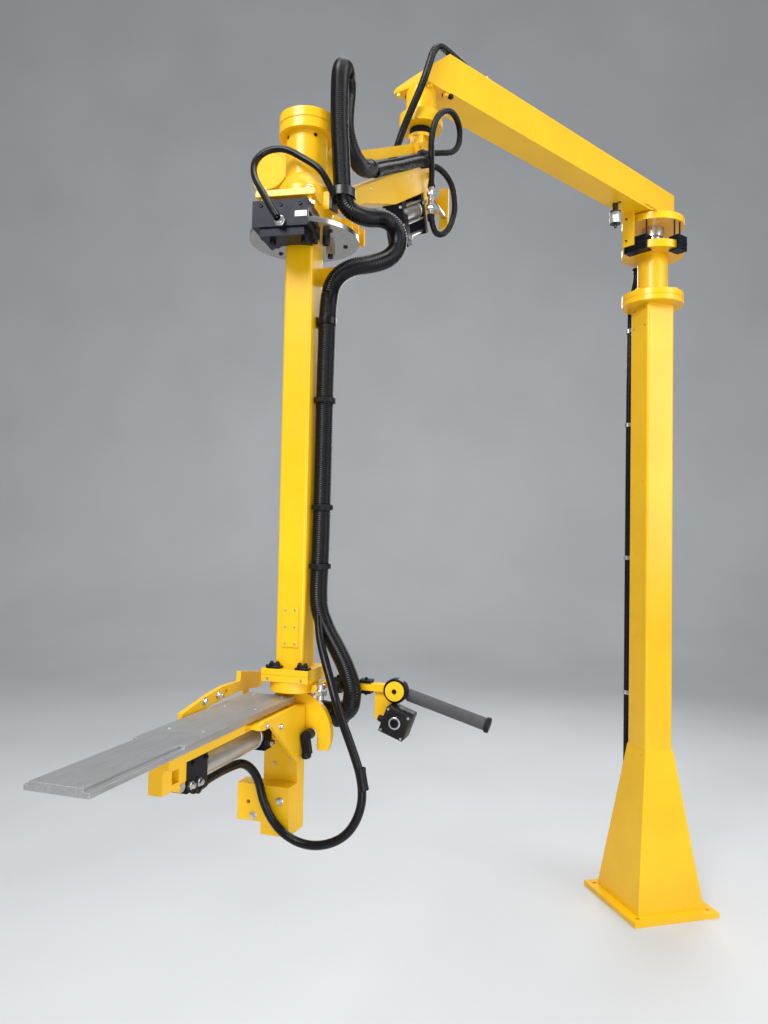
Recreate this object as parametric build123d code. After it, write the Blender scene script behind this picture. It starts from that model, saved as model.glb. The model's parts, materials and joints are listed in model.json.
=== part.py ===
from build123d import *
import os
import math

# Column-mounted lift-assist manipulator: a square floor column, a swinging box
# beam, a parallelogram second arm, a square drop tube and a fork-plate tool.
# Millimetres, +Z up.  Origin: underside of the base plate on the column axis.

os.makedirs("parts", exist_ok=True)

# ---------------------------------------------------------------- driving dimensions
COL_W = 152.4           # square column tube
COL_WALL = 6.35
BASE_W = 457.0          # base plate side
BASE_T = 25.4
BASE_HOLE_PITCH = 381.0
BASE_HOLE_R = 11.0
FLARE_BOT = 360.0       # skirt of four sloping plates
FLARE_TOP_Z = 765.0
FLARE_T = 8.0
COL_TOP = 2985.0
FL_R = 150.0            # column flange pair
FL_Z = (2985.0, 3013.0, 3043.0)
NECK_R = 74.0
DISC_R = 152.5          # neck disc, gripped by the hub brakes
DISC_Z = (3245.0, 3283.0)
SPINDLE_R = 48.0
PIN_R = 25.0
RUN_GAP = 0.05          # radial running clearance

ARM1_YAW = 206.53       # primary beam direction
ARM1_LEN = 1664.0
BEAM_W = 127.0
BEAM_H = 145.0
BEAM_Z = 3431.0
BEAM_BACK = -99.0
BEAM_TIP = 1735.0       # far side; the end is cut back to BEAM_NEAR on the near side
BEAM_NEAR = 1686.0
BEAM_CHAMFER = 1580.0
BEAM_WALL = 5.0

ARM2_YAW = 232.4       # second arm direction
HEAD_S = 855.0          # elbow axis to head axis
PIV_A = (0.0, 3105.0)   # lower arm pivot at the knuckle
PIV_B = (0.0, 3215.0)   # upper rod pivot at the knuckle
HEAD_YAW = 244.0        # brake calliper direction on the head
CONDUIT_D = 46.0        # corrugated conduit
PAR_S = 735.0           # head pivots, horizontal distance
PAR_DROP = 402.0        # head pivots, drop below the knuckle pivots
WEB_W = 50.0
ARM_W = 70.0

TOOL_YAW = 237.24       # tool direction
TUBE_W = 76.2
TUBE_WALL = 4.78
TUBE_Z = (1444.0, 2541.0)
DISC2_R = 142.0
DISC2_Z = (2541.0, 2553.0)
ROLL_Z = 1280.0
FORK_L = 767.0
FORK_W = 127.0
FORK_T = 16.0
FORK_TOP = 1373.0
FORK_Y = -52.0

ELBOW = (ARM1_LEN * math.cos(math.radians(ARM1_YAW)), ARM1_LEN * math.sin(math.radians(ARM1_YAW)))
HEAD = (ELBOW[0] + HEAD_S * math.cos(math.radians(ARM2_YAW)), ELBOW[1] + HEAD_S * math.sin(math.radians(ARM2_YAW)))

F0 = Location((0, 0, 0))
F1 = Location((0, 0, 0), (0, 0, ARM1_YAW))
F2 = Location((ELBOW[0], ELBOW[1], 0), (0, 0, ARM2_YAW))
FT = Location((HEAD[0], HEAD[1], 0), (0, 0, TOOL_YAW))
FH = Location((HEAD[0], HEAD[1], 0), (0, 0, HEAD_YAW))
print("elbow", ELBOW, "head", HEAD)

DONE = []


def out(name, shape, frame=F0):
    s = frame * shape
    if isinstance(s, Compound) and len(s.solids()) == 1:
        s = s.solids()[0]
    export_step(s, "parts/" + name + ".step")
    DONE.append(name)


def box(x0, x1, y0, y1, z0, z1):
    return Pos((x0 + x1) / 2, (y0 + y1) / 2, (z0 + z1) / 2) * Box(x1 - x0, y1 - y0, z1 - z0)


def cyl(r, z0, z1, x=0.0, y=0.0):
    return Pos(x, y, (z0 + z1) / 2) * Cylinder(r, z1 - z0)


def cylx(r, x0, x1, y, z):
    return Pos((x0 + x1) / 2, y, z) * Rot(0, 90, 0) * Cylinder(r, x1 - x0)


def cyly(r, y0, y1, x, z):
    return Pos(x, (y0 + y1) / 2, z) * Rot(90, 0, 0) * Cylinder(r, y1 - y0)


def plate_xz(pts, y0, y1):
    """Side profile given as (x, z) points, extruded from y0 to y1."""
    w = Wire.make_polygon([Vector(x, y0, z) for x, z in pts], close=True)
    f = Face(w)
    return extrude(f, amount=y1 - y0, dir=(0, 1, 0))


def plate_yz(pts, x0, x1):
    w = Wire.make_polygon([Vector(x0, y, z) for y, z in pts], close=True)
    f = Face(w)
    return extrude(f, amount=x1 - x0, dir=(1, 0, 0))


def plate_xy(pts, z0, z1):
    w = Wire.make_polygon([Vector(x, y, z0) for x, y in pts], close=True)
    f = Face(w)
    return extrude(f, amount=z1 - z0, dir=(0, 0, 1))


def hexhead(x, y, z0, z1, af):
    r = af / math.sqrt(3)
    return Pos(x, y, z0) * extrude(RegularPolygon(r, 6), amount=z1 - z0)


def from_joint(pts, gap=2.5):
    # the same route, begun a little way along, where the two ends meet inside a ferrule
    a, c = Vector(*pts[0]), Vector(*pts[1])
    q = a + (c - a).normalized() * gap
    return [(q.X, q.Y, q.Z)] + list(pts[1:])


def hose(name, pts, d, radii=None):
    v = [Vector(*p) for p in pts]
    rr = []
    for i in range(1, len(v) - 1):
        a = v[i] - v[i - 1]
        b = v[i + 1] - v[i]
        turn = math.radians(a.get_angle(b))
        rr.append(0.45 * min(a.length, b.length) / math.tan(turn / 2))
    if radii:
        rr = radii
    if len(v) == 2:
        path = Line(v[0], v[1])
    else:
        path = FilletPolyline(*v, radius=rr)
    sec = Plane(origin=path @ 0, z_dir=path % 0) * Circle(d / 2)
    s = sweep(sec, path=path)
    want = math.pi * d * d / 4 * path.length
    print("hose %-18s d %.0f length %.0f radii %s volume ratio %.4f" % (
        name, d, path.length, [round(r) for r in rr], s.volume / want))
    return s


def shift(frm, to, p):
    """A point of one frame given in another."""
    q = to.inverse() * frm * Location(p)
    return (q.position.X, q.position.Y, q.position.Z)


# ================================================================ column
base = box(-BASE_W / 2, BASE_W / 2, -BASE_W / 2, BASE_W / 2, 0, BASE_T)
for sx in (-1, 1):
    for sy in (-1, 1):
        base -= cyl(BASE_HOLE_R, -1, BASE_T + 1, sx * BASE_HOLE_PITCH / 2, sy * BASE_HOLE_PITCH / 2)
out("base_plate", base)


def frustum(w0, w1, z0, z1):
    a = Plane.XY.offset(z0) * Rectangle(w0, w0)
    b = Plane.XY.offset(z1) * Rectangle(w1, w1)
    return loft([a.face(), b.face()])


skirt = frustum(FLARE_BOT, COL_W + 2, BASE_T, FLARE_TOP_Z)
inner = frustum(FLARE_BOT - 2 * FLARE_T, COL_W + 2 - 2 * FLARE_T, BASE_T, FLARE_TOP_Z)
skirt = skirt - inner
tube = extrude(Plane.XY.offset(BASE_T) * RectangleRounded(COL_W, COL_W, 12), amount=COL_TOP - BASE_T)
tube -= extrude(Plane.XY.offset(BASE_T) * RectangleRounded(COL_W - 2 * COL_WALL, COL_W - 2 * COL_WALL, 6), amount=COL_TOP - BASE_T)
post = skirt + tube
for dy in (-46, 46):
    for dz in (-46, 46):
        post -= Pos(-COL_W / 2, dy, 2921 + dz) * Rot(0, 90, 0) * Cylinder(4.5, 20)
post += cyl(FL_R, FL_Z[0], FL_Z[1] - 1) + cyl(FL_R - 2, FL_Z[1] - 1, FL_Z[1] + 1) + cyl(FL_R, FL_Z[1] + 1, FL_Z[2]) - cyl(40, FL_Z[0], FL_Z[2])
for k in range(8):
    a = math.radians(22.5 + 45 * k)
    post += hexhead(125 * math.cos(a), 125 * math.sin(a), FL_Z[2], FL_Z[2] + 11, 24)
out("column_post", post)

out("column_neck", cyl(NECK_R, FL_Z[2], DISC_Z[0]) - cyl(NECK_R - 8, FL_Z[2], DISC_Z[0]))
out("neck_disc", cyl(DISC_R, DISC_Z[0], DISC_Z[1]))
spindle = cyl(SPINDLE_R, DISC_Z[1], 3336) + cyl(PIN_R, 3336, 3418)
out("column_spindle", spindle)
HX0, HY0 = -28.0, 167.0
out("column_hose", hose("column_hose", [(HX0, HY0, 300), (HX0, HY0, 3044), (-24, 143, 3098), (-20, 120, 3150), (-18, 116, 3214)], 26))
clips = None
for z in (320, 1000, 1700, 2400, 2900):
    y0 = COL_W / 2
    if z < FLARE_TOP_Z:
        y0 = FLARE_BOT / 2 - (z - 10 - BASE_T) / (FLARE_TOP_Z - BASE_T) * (FLARE_BOT / 2 - COL_W / 2 - 1) - 2
    c = box(HX0 - 10, HX0 + 10, y0, HY0 - 13, z - 10, z + 10) + cyl(18, z - 10, z + 10, HX0, HY0)
    c -= cyl(13, z - 20, z + 20, HX0, HY0)
    if z < FLARE_TOP_Z:
        c -= skirt
    clips = c if clips is None else clips + c
out("hose_clips", clips)

# ================================================================ primary arm
bearing = cyl(56, 3338, 3388) - cyl(PIN_R + RUN_GAP, 3338, 3388)
out("hub_bearing", bearing, F1)
hub = cyl(152.5, 3388, 3423) + cyl(120, 3423, BEAM_Z)
hub -= cyl(PIN_R + RUN_GAP, 3388, 3420)
for sy in (-1, 1):
    hub += plate_xz([(60, 3423), (235, 3423), (235, 3440), (60, 3440)], sy * 90 - 4, sy * 90 + 4) & box(0, 300, -160, 160, 3400, BEAM_Z)
out("hub_flange", hub, F1)

bz0, bz1 = BEAM_Z, BEAM_Z + BEAM_H
prof = [(BEAM_BACK, bz0), (BEAM_TIP, bz0), (BEAM_TIP, bz0 + 4), (1662, bz0 + 74), (BEAM_CHAMFER, bz1), (BEAM_BACK, bz1)]
beam = plate_xz(prof, -BEAM_W / 2, BEAM_W / 2)
w = BEAM_WALL
iprof = [(BEAM_BACK + w, bz0 + w), (BEAM_TIP - w - 44, bz0 + w), (BEAM_CHAMFER + 20, bz0 + 90), (BEAM_CHAMFER - 2, bz1 - w), (BEAM_BACK + w, bz1 - w)]
beam -= plate_xz(iprof, -BEAM_W / 2 + w, BEAM_W / 2 - w)
beam -= plate_xy([(BEAM_NEAR, BEAM_W / 2 + 1), (BEAM_NEAR, BEAM_W / 2), (BEAM_TIP, -BEAM_W / 2), (BEAM_TIP + 40, -BEAM_W / 2), (BEAM_TIP + 40, BEAM_W / 2 + 1)], bz0 - 1, bz1 + 1)
beam -= cyl(12, bz0 - 1, bz0 + w + 1, 320, 0)
beam += box(176, 184, -62, 0, 3262, BEAM_Z)
out("primary_beam", beam, F1)


def brake_block(ang, hw_, pin):
    """Calliper hung from the hub flange, reaching over the neck disc rim."""
    b = box(118, 172, -hw_, hw_, 3232, 3305) - box(100, 161, -80, 80, 3239.5, 3288.5)
    b -= cyl(118, 3200, 3320)
    for sy in (-1, 1):
        b += cyl(4, 3305, 3388, 140, sy * pin)
    return Rot(0, 0, ang) * b


out("hub_brake_front", brake_block(0, 60, 44), F1)
out("hub_brake_side", brake_block(84, 36, 22), F1)
bowl = cyl(14, 3384, BEAM_Z, 320, -20) + cyl(26, 3330, 3392, 320, -20) + cyl(8, 3312, 3332, 320, -20)
out("filter_bowl", bowl, F1)

em = plate_xy([(1664 - 80, -72), (BEAM_TIP, -72), (BEAM_TIP, -63.5), (BEAM_NEAR + 14, 72), (1664 - 80, 72)], 3419, BEAM_Z)
em += cyl(56, 3325, 3419, 1664, 0) + cyl(79, 3281, 3325, 1664, 0)
em -= cyl(30 + RUN_GAP, 3281, 3400, 1664, 0)
for (bx_, by_) in ((-66, -60), (-66, 60), (16, 60), (56, -58)):
    em += hexhead(1664 + bx_, by_, 3407, 3419, 19)
out("elbow_mount", em, F1)

# ================================================================ knuckle
out("elbow_ring", cyl(40, 3252, 3279) + cyl(30, 3279, 3396), F2)
kn = cyl(46, 3240, 3252) + cyl(30, 3279, 3396) + cyl(30, 3252, 3279)
kn_web = plate_xz([(-45, 3240), (42, 3240), (42, 3188), (20, 3150), (20, 3075), (18, 3030), (18, 2990), (-30, 2985), (-45, 3000)], -WEB_W / 2, WEB_W / 2)
kn_web += plate_xz([(18, 3250), (42, 3250), (42, 3188), (24, 3160), (18, 3160)], -WEB_W / 2, WEB_W / 2) & box(-60, 60, -40, 40, 3100, 3240)
kn = cyl(46, 3240, 3252) + kn_web
kn += cyly(9.95, -42, 42, *PIV_A) + cyly(9.95, -40, 40, *PIV_B)
out("elbow_knuckle", kn, F2)
kb = box(-105, -45, -25, 25, 3000, 3060) + box(-105, -93, -25, 50, 3000, 3060)
kb += plate_yz([(46, 2938), (80, 2952), (80, 3090), (46, 3094)], -105, -93)
out("knuckle_bracket", kb, F2)
fit = cyl(11, 2925, 3030, 62, 68) + cyl(16, 2996, 3012, 62, 68) + cyl(16, 2946, 2958, 62, 68)
fit += box(-93, 62, 60, 76, 2975, 2988)
out("knuckle_fitting", fit, F2)
khp = [(62, 68, 3030), (80, 76, 3076), (116, 84, 3122), (126, 88, 3184), (98, 94, 3256), (44, 104, 3310), (-18, 118, 3336), (-74, 126, 3314), (-92, 124, 3258), (-58, 112, 3204),
       (8, 84, 3176), (64, 52, 3152), (112, 46, 3128)]
out("knuckle_hose", hose("knuckle_hose", khp, 22), F2)
klp = [(112, 57, 3098), (66, 60, 3108), (12, 86, 3116), (-44, 112, 3080), (-66, 118, 3004), (-50, 113, 2946), (-18, 104, 2894), (22, 90, 2866), (54, 75, 2872), (62, 68.3, 2925)]
out("knuckle_loop", hose("knuckle_loop", klp, 22), F2)
# hose from the top of the beam, round the front of the elbow, to the far side of the rod
ehp = [shift(F1, F2, (1340, 24, 3593)), shift(F1, F2, (1450, 30, 3592)), shift(F1, F2, (1560, 44, 3597)), shift(F1, F2, (1640, 66, 3582)), shift(F1, F2, (1686, 82, 3532)), shift(F1, F2, (1710, 86, 3468)),
       (110, 46, 3385), (112, 12, 3310), (108, -24, 3240), (84, -62, 3176), (100, -66, 3136), (128, -60, 3112)]
out("elbow_hose", hose("elbow_hose", ehp, 26), F2)

# ================================================================ lower arm
slope = math.atan2(PAR_DROP, PAR_S)
C = (PAR_S, PIV_A[1] - PAR_DROP)
Dp = (PAR_S, PIV_B[1] - PAR_DROP)
arm = plate_xz([(-45, 3172), (50, 3127), (566, 2815), (712, 2727), (735, 2668), (700, 2676), (563, 2765), (316, 2865), (-78, 3095)], -ARM_W / 2, ARM_W / 2)
arm += cyly(34, -ARM_W / 2, ARM_W / 2, C[0], C[1])
hw = WEB_W / 2 + 1.5
slot_a = plate_xz([(-200, 2900), (115, 2900), (115, 3300), (-200, 3300)], -hw, hw)
slot_c = plate_xz([(655, 2500), (900, 2500), (900, 2900), (655, 2900)], -hw, hw)
arm = arm - slot_a - slot_c
core = plate_xz([(125, 3068), (560, 2806), (560, 2776), (316, 2874), (125, 2988)], -hw, hw)
arm -= core
arm -= cyly(10, -60, 60, *PIV_A)
arm -= cyly(10, -60, 60, *C)
out("lower_arm", arm, F2)

# air cylinder under the lower arm, its two end blocks hung from the arm's underside
AX0 = (56.0, 2958.0)


def cyl_pt(u, v):
    return (AX0[0] + u * math.cos(slope) + v * math.sin(slope), AX0[1] - u * math.sin(slope) + v * math.cos(slope))


def bar_along(r, u0, u1, y, v):
    x_, z_ = cyl_pt(u0, v)
    return Plane(origin=(x_, y, z_), z_dir=(math.cos(slope), 0, -math.sin(slope))) * Pos(0, 0, (u1 - u0) / 2) * Cylinder(r, u1 - u0)


barrel = bar_along(32, 0, 172, 0, 0)
for sy in (-1, 1):
    barrel += bar_along(4, 0, 172, sy * 29, 29) + bar_along(4, 0, 172, sy * 29, -29)
barrel += bar_along(6, 0, 172, 18, -72)
out("arm_cylinder", barrel, F2)
ends = plate_xz([cyl_pt(-24, -84), cyl_pt(0, -84), cyl_pt(0, 60), cyl_pt(-24, 60)], -35, 35)
ends += plate_xz([cyl_pt(172, -100), cyl_pt(212, -100), cyl_pt(212, 60), cyl_pt(172, 60)], -35, 35)
under = plate_xz([(-300, 3224.4), (316, 2864.8), (563, 2764.8), (563, 3300), (-300, 3300)], -60, 60)
ends -= under
out("arm_cylinder_ends", ends, F2)


def along(u, v):
    """Point on the pivot line, u along it and v square to it."""
    return (u * math.cos(slope) + v * math.sin(slope), PIV_A[1] - u * math.sin(slope) + v * math.cos(slope))


# ================================================================ upper rod
dx, dz = math.cos(slope), -math.sin(slope)
nx, nz = math.sin(slope), math.cos(slope)


def rod_pt(u, v):
    return (PIV_B[0] + u * dx + v * nx, PIV_B[1] + u * dz + v * nz)


RL = math.hypot(PAR_S, PAR_DROP)
rod = plate_xz([rod_pt(75, -16), rod_pt(RL - 75, -16), rod_pt(RL - 75, 16), rod_pt(75, 16)], -15, 15)
for (u0, u1) in ((0, 122), (RL - 90, RL)):
    blk = plate_xz([rod_pt(u0, -16), rod_pt(u1, -16), rod_pt(u1, 16), rod_pt(u0, 16)], -34, 34)
    cpt = rod_pt(0, 0) if u0 == 0 else rod_pt(RL, 0)
    blk += cyly(18, -34, 34, *cpt)
    if u0 == 0:
        blk -= plate_xz([rod_pt(-40, -40), rod_pt(62, -40), rod_pt(62, 40), rod_pt(-40, 40)], -hw, hw)
    else:
        blk -= plate_xz([rod_pt(RL - 50, -40), rod_pt(RL + 60, -40), rod_pt(RL + 60, 40), rod_pt(RL - 50, 40)], -hw, hw)
    rod += blk
rod -= cyly(10, -60, 60, *PIV_B)
rod -= plate_xz([rod_pt(98, -6), rod_pt(110, -6), rod_pt(110, 6), rod_pt(98, 6)], 22, 40)
rod -= cyly(16, -60, 60, *Dp)
out("upper_rod", rod, F2)

# three hoses that ride under the rod
def under_rod(u, y, v):
    x_, z_ = rod_pt(u, v)
    return (x_, y, z_)


V0 = -28.0
h1 = [(112, 46, 3128), under_rod(170, 38, V0), under_rod(235, 15, V0), under_rod(300, 12, V0 - .5), under_rod(440, 12.5, V0), under_rod(560, 16, V0 - 1), (596, 57, 2860)]
out("arm_hose_upper", hose("arm_hose_upper", from_joint(h1, 6.0), 20), F2)
h3 = [(112, 57, 3098), under_rod(190, 59, V0 - 16), under_rod(300, 59, V0 - 18), under_rod(420, 59, V0 - 20), under_rod(545, 68, V0 - 18), (597, 82, 2834)]
out("arm_hose_lower", hose("arm_hose_lower", from_joint(h3), 34), F2)
h2 = [(128, -58, 3112), under_rod(200, -46, V0), under_rod(290, -14, V0), under_rod(380, -12, V0 - .5), under_rod(620, -13, V0)]
out("arm_hose_far", hose("arm_hose_far", from_joint(h2), 20), F2)

# ================================================================ head
HX = HEAD_S
hb = cyl(72.5, 2815, 2839, HX) + cyl(70.5, 2839, 2842, HX) + cyl(72.5, 2842, 2866, HX)
hb += cyl(54, 2660, 2815, HX) + cyl(75, 2565, 2665, HX)
hb += Pos(HX, 0, 2684) * Cone(75, 54, 38)
hb += plate_xz([(712, 2650), (812, 2650), (812, 2866), (712, 2842)], -WEB_W / 2, WEB_W / 2) - cyl(60, 2600, 2900, HX)
hb -= cyl(30 + RUN_GAP, 2560, 2750, HX)
hb -= cyly(10, -60, 60, *C)
hb -= cyly(10, -60, 60, *Dp)
out("head_body", hb, F2)
sb = cylx(66, HX - 56, HX - 14, -108, 2754) + cylx(53, HX - 14, HX, -108, 2754)
sb = sb - hb
out("head_side_boss", sb, F2)
hp = box(60, 125, -90, 60, 2611, 2627) + box(60, 98, -82, 54, 2585, 2611)
hp -= cyl(75, 2550, 2700)
for by_ in (-76, 44):
    hp += cyl(7, 2585, 2611, 110, by_)
    hp += Pos(110, by_, 2627) * extrude(RegularPolygon(10, 6), amount=9)
out("head_plate", hp, FH)
cal = box(60, 160, -84, 56, 2520, 2585) + box(60, 154, -66, 46, 2499, 2520)
cal -= box(20, 149, -140, 120, 2535, 2559)
cal -= cyl(92, 2490, 2536)
cal -= cyl(75.05, 2490, 2700)
cal += cylx(9, 160, 172, -12, 2531)
for by_ in (-40, 40):
    cal += cyl(8, 2487, 2499, 130, by_)
out("brake_caliper", cal, FH)


ch = [shift(FH, F2, (172, -12, 2531)), (1022, -2, 2566), (1009, -38, 2618), (984, -78, 2672), (966, -90, 2722), (952, -60, 2752), (942, -12, 2752), (933, 32, 2724), (924, 66, 2690), (910, 84, 2656), (898, 87, 2626)]
out("caliper_hose", hose("caliper_hose", ch, 17), F2)
# bracket that carries the conduit and the calliper hose, with its three ribs
hk = box(660, 866, 44, 54, 2592, 2640) - cyl(75.05, 2500, 2700, HX)
for x in (660, 700, 740):
    hk += box(x, x + 8, 54, 84, 2592, 2640)
hk += box(846, 886, 62, 93, 2606, 2652) - cyl(75.05, 2500, 2700, HX)
hk += cyl(33, 2630, 2652, 876, 118) - cyl(27, 2600, 2670, 876, 118) - cyl(11, 2600, 2670, 897, 87)
out("head_bracket", hk, F2)

# corrugated conduit: bundle end, upright loop, clamp on the head; then the sweep to the tube
lp = [(612, 76, 2836), (664, 80, 2812), (714, 82, 2834), (737, 77, 2888), (741, 75, 2944), (747, 78, 2992), (782, 86, 3020), (832, 95, 3020), (868, 101, 2984), (877, 103, 2920), (878, 104.5, 2836), (876, 110, 2750), (876, 116.5, 2660)]
out("loop_hose", hose("loop_hose", lp, CONDUIT_D), F2)
e0 = shift(F2, FT, (876, 116.5, 2660))
sw = [e0, (e0[0] + 0.3, e0[1] + 3.6, 2610.1), (0, 166, 2586), (-36, 206, 2600), (-58, 234, 2576), (-60, 240, 2532), (-42, 222, 2494), (-14, 184, 2472), (4, 132, 2464), (4, 84, 2436), (-8, 66.5, 2385), (-8, 65.5, 2330)]
out("sweep_hose", hose("sweep_hose", from_joint(sw), CONDUIT_D), FT)

# ================================================================ drop tube
dt = extrude(Plane.XY.offset(TUBE_Z[0]) * RectangleRounded(TUBE_W, TUBE_W, 8), amount=TUBE_Z[1] - TUBE_Z[0])
dt -= extrude(Plane.XY.offset(TUBE_Z[0]) * RectangleRounded(TUBE_W - 2 * TUBE_WALL, TUBE_W - 2 * TUBE_WALL, 4), amount=TUBE_Z[1] - TUBE_Z[0])
dt += box(38.1, 42.1, -19, 25, 1497, 1597)
out("drop_tube", dt, FT)
bd = cyl(DISC2_R, DISC2_Z[0], DISC2_Z[1])
for sx in (-1, 1):
    for sy in (-1, 1):
        bd += box(sx * 52 - 9, sx * 52 + 9, sy * 52 - 9, sy * 52 + 9, 2523, 2541)
out("brake_disc", bd, FT)
out("tube_spindle", cyl(30, 2553, 2745), FT)
tf = box(-63.5, 63.5, -63.5, 63.5, 1412, 1427) + box(-62.5, 62.5, -62.5, 62.5, 1427, 1429) + box(-63.5, 63.5, -63.5, 63.5, 1429, 1444)
tf += cyl(62, 1385, 1412)
out("tube_flange", tf, FT)
# half-disc roll plate with a lock notch at its lower right
rp = cylx(105, -10, 8, 0, ROLL_Z) & box(-20, 20, -120, 120, 1240, 1385)
rp -= box(-20, 20, 38, 68, 1235, 1278)
rp -= cylx(15, -20, 20, 53, 1278)
rp -= cylx(20 + RUN_GAP, -20, 20, 0, ROLL_Z)
out("roll_plate", rp, FT)
gs = plate_yz([(38.1, 2480), (140, 2480), (140, 2470), (75, 2448), (38.1, 2432)], -38, -28)
out("tube_gusset", gs, FT)
vert = [(-8, 65.5, 2330), (-8, 64, 2235), (-8, 63, 2125), (-8, 62.6, 1985), (-6, 62.6, 1850), (-1, 62.6, 1710), (7, 62.8, 1630), (5, 67, 1585), (-1, 82, 1545), (-5, 112, 1495), (-7, 138, 1446), (-9, 153.5, 1400), (-11, 154, 1376), (-20, 144, 1338), (-46, 112, 1322)]
out("tube_hose", hose("tube_hose", vert, CONDUIT_D), FT)
out("hose_socket", box(-70, -10, 34, 62, 1296, 1348) + cyly(29, 62, 96, -46, 1322) & box(-80, -10, 0, 200, 1200, 1400), FT)
thin = [(14, 67, 1588), (24, 73, 1552), (38, 85, 1510), (54, 107, 1463), (76, 131, 1420), (92, 149, 1385), (100, 167, 1345), (106, 194, 1290), (112, 226, 1215), (114, 228, 1148), (114, 196, 1084),
        (114, 136, 1050), (113, 72, 1046), (113, 14, 1074), (114, -24, 1130), (118, -38, 1196), (152, -58, 1236), (215, -63, 1240), (290, -62, 1243), (350, -60, 1240)]
out("tool_hose", hose("tool_hose", thin, 21), FT)
ties = None
for z, x in ((2125, -8), (1850, -6), (1700, 0)):
    t1 = (cyl(28, z - 6, z + 6, x, 62.8) - cyl(25.3, z - 8, z + 8, x, 62.8)) & box(-60, 60, 38.1, 120, z - 6, z + 6)
    ties = t1 if ties is None else ties + t1
out("hose_ties", ties, FT)
# handle assembly on the neck flange
hd = box(-62, -38, 63.5, 262, 1388, 1406) + box(-62, 40, 63.5, 78, 1388, 1406)
hd += cylx(24, -50, -14, 262, 1396) + box(-62, -50, 200, 262, 1318, 1400)
out("handle_bar", hd, FT)
out("handle_clamp", box(-66, -36, 160, 192, 1380, 1388) + box(-66, -36, 160, 192, 1406, 1414) + cyly(20, 101, 121, -22, 1400) + box(-38, -22, 101, 121, 1406, 1412) - box(-62, -38, 60, 250, 1388, 1406), FT)
out("control_box", Pos(-17, 272, 1324) * Rot(-20, 0, 0) * Box(62, 66, 66), FT)
gr = Pos(-50, 262, 1392) * Rot(-90 - 16, 0, 0) * (Pos(0, 0, 128) * Cylinder(16, 206) + Pos(0, 0, 14) * Cylinder(10, 28) + Pos(0, 0, 236) * Cylinder(19, 12))
out("handle_grip", gr - hd, FT)

# ================================================================ tool
up = box(10, 52, -55, 36, 1048, 1352) + box(10, 52, -55, FORK_Y + FORK_W / 2 - 4, 1345, FORK_TOP - FORK_T)
up += cylx(20, -12, 10, 0, ROLL_Z) + cylx(30, -20, -12, 0, ROLL_Z)
out("tool_upright", up, FT)
fk_ = box(25, 25 + FORK_L, FORK_Y - FORK_W / 2, FORK_Y + FORK_W / 2, FORK_TOP - FORK_T, FORK_TOP)
fk_ -= box(524, 800, FORK_Y + FORK_W / 2 - 11, FORK_Y + FORK_W / 2 + 5, FORK_TOP - 6.4, FORK_TOP + 1)
fk_ -= box(507, 800, FORK_Y - FORK_W / 2 - 5, FORK_Y - FORK_W / 2 + 11, FORK_TOP - 6.4, FORK_TOP + 1)
out("fork_plate", fk_, FT)
out("support_bar", box(52, 560, -85, 2, 1335, FORK_TOP - FORK_T), FT)
rib = plate_xz([(52, 1357), (240, 1357), (262, 1350), (262, 1342), (240, 1338), (200, 1338), (56, 1219), (52, 1219)], 26, 36)
rib += box(52, 262, 2, 36, 1343, 1352)
out("tool_rib", rib, FT)
out("tool_cylinder", cylx(31, 137, 398, -46, 1296), FT)
out("cylinder_caps", box(101, 137, -80, -12, 1262, 1330) + box(398, 474, -80, -12, 1264, 1335), FT)
cyo = box(478, 556, -44, -14, 1284, 1335) - box(500, 524, -60, 0, 1296, 1322)
cyo += cyly(12, -44, -14, 490, 1284) + box(474, 482, -44, -14, 1290, 1330)
cyo -= cyly(5, -60, 0, 490, 1282)
out("tool_yoke", cyo, FT)
tb = box(52, 98, -102, 36, 1079, 1168) + box(52, 98, -38, 36, 1050, 1079)
tb -= cylx(5, 40, 110, -72, 1124) + cylx(5, 40, 110, -26, 1108)
out("tool_block", tb, FT)
sbp = [(-65, 1371), (-63, 1412), (54, 1430), (58, 1406), (135, 1408), (205, 1400), (320, 1378), (320, 1354), (200, 1373), (52, 1382)]
sdb = plate_xz(sbp, -136, -124) - cyly(5, -140, -120, 128, 1394)
sdb += box(10, 25, -136, -124, 1300, 1384) + box(10, 25, -124, -55, 1300, 1330)
out("side_bar", sdb, FT)
lk = cylx(9, 8, 46, 54, 1280) + Pos(30, 49, 1258) * Rot(10, 0, 0) * Box(18, 20, 50)
lk += cylx(13, 16, 44, 54, 1282)
out("lock_lever", lk - box(10, 52.05, -60, 36, 1000, 1400) - box(-20, 8.05, -200, 200, 1200, 1400), FT)
print(len(DONE), "nodes", DONE)
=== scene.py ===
import bpy, bmesh, math, json
from mathutils import Vector, Matrix

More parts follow.
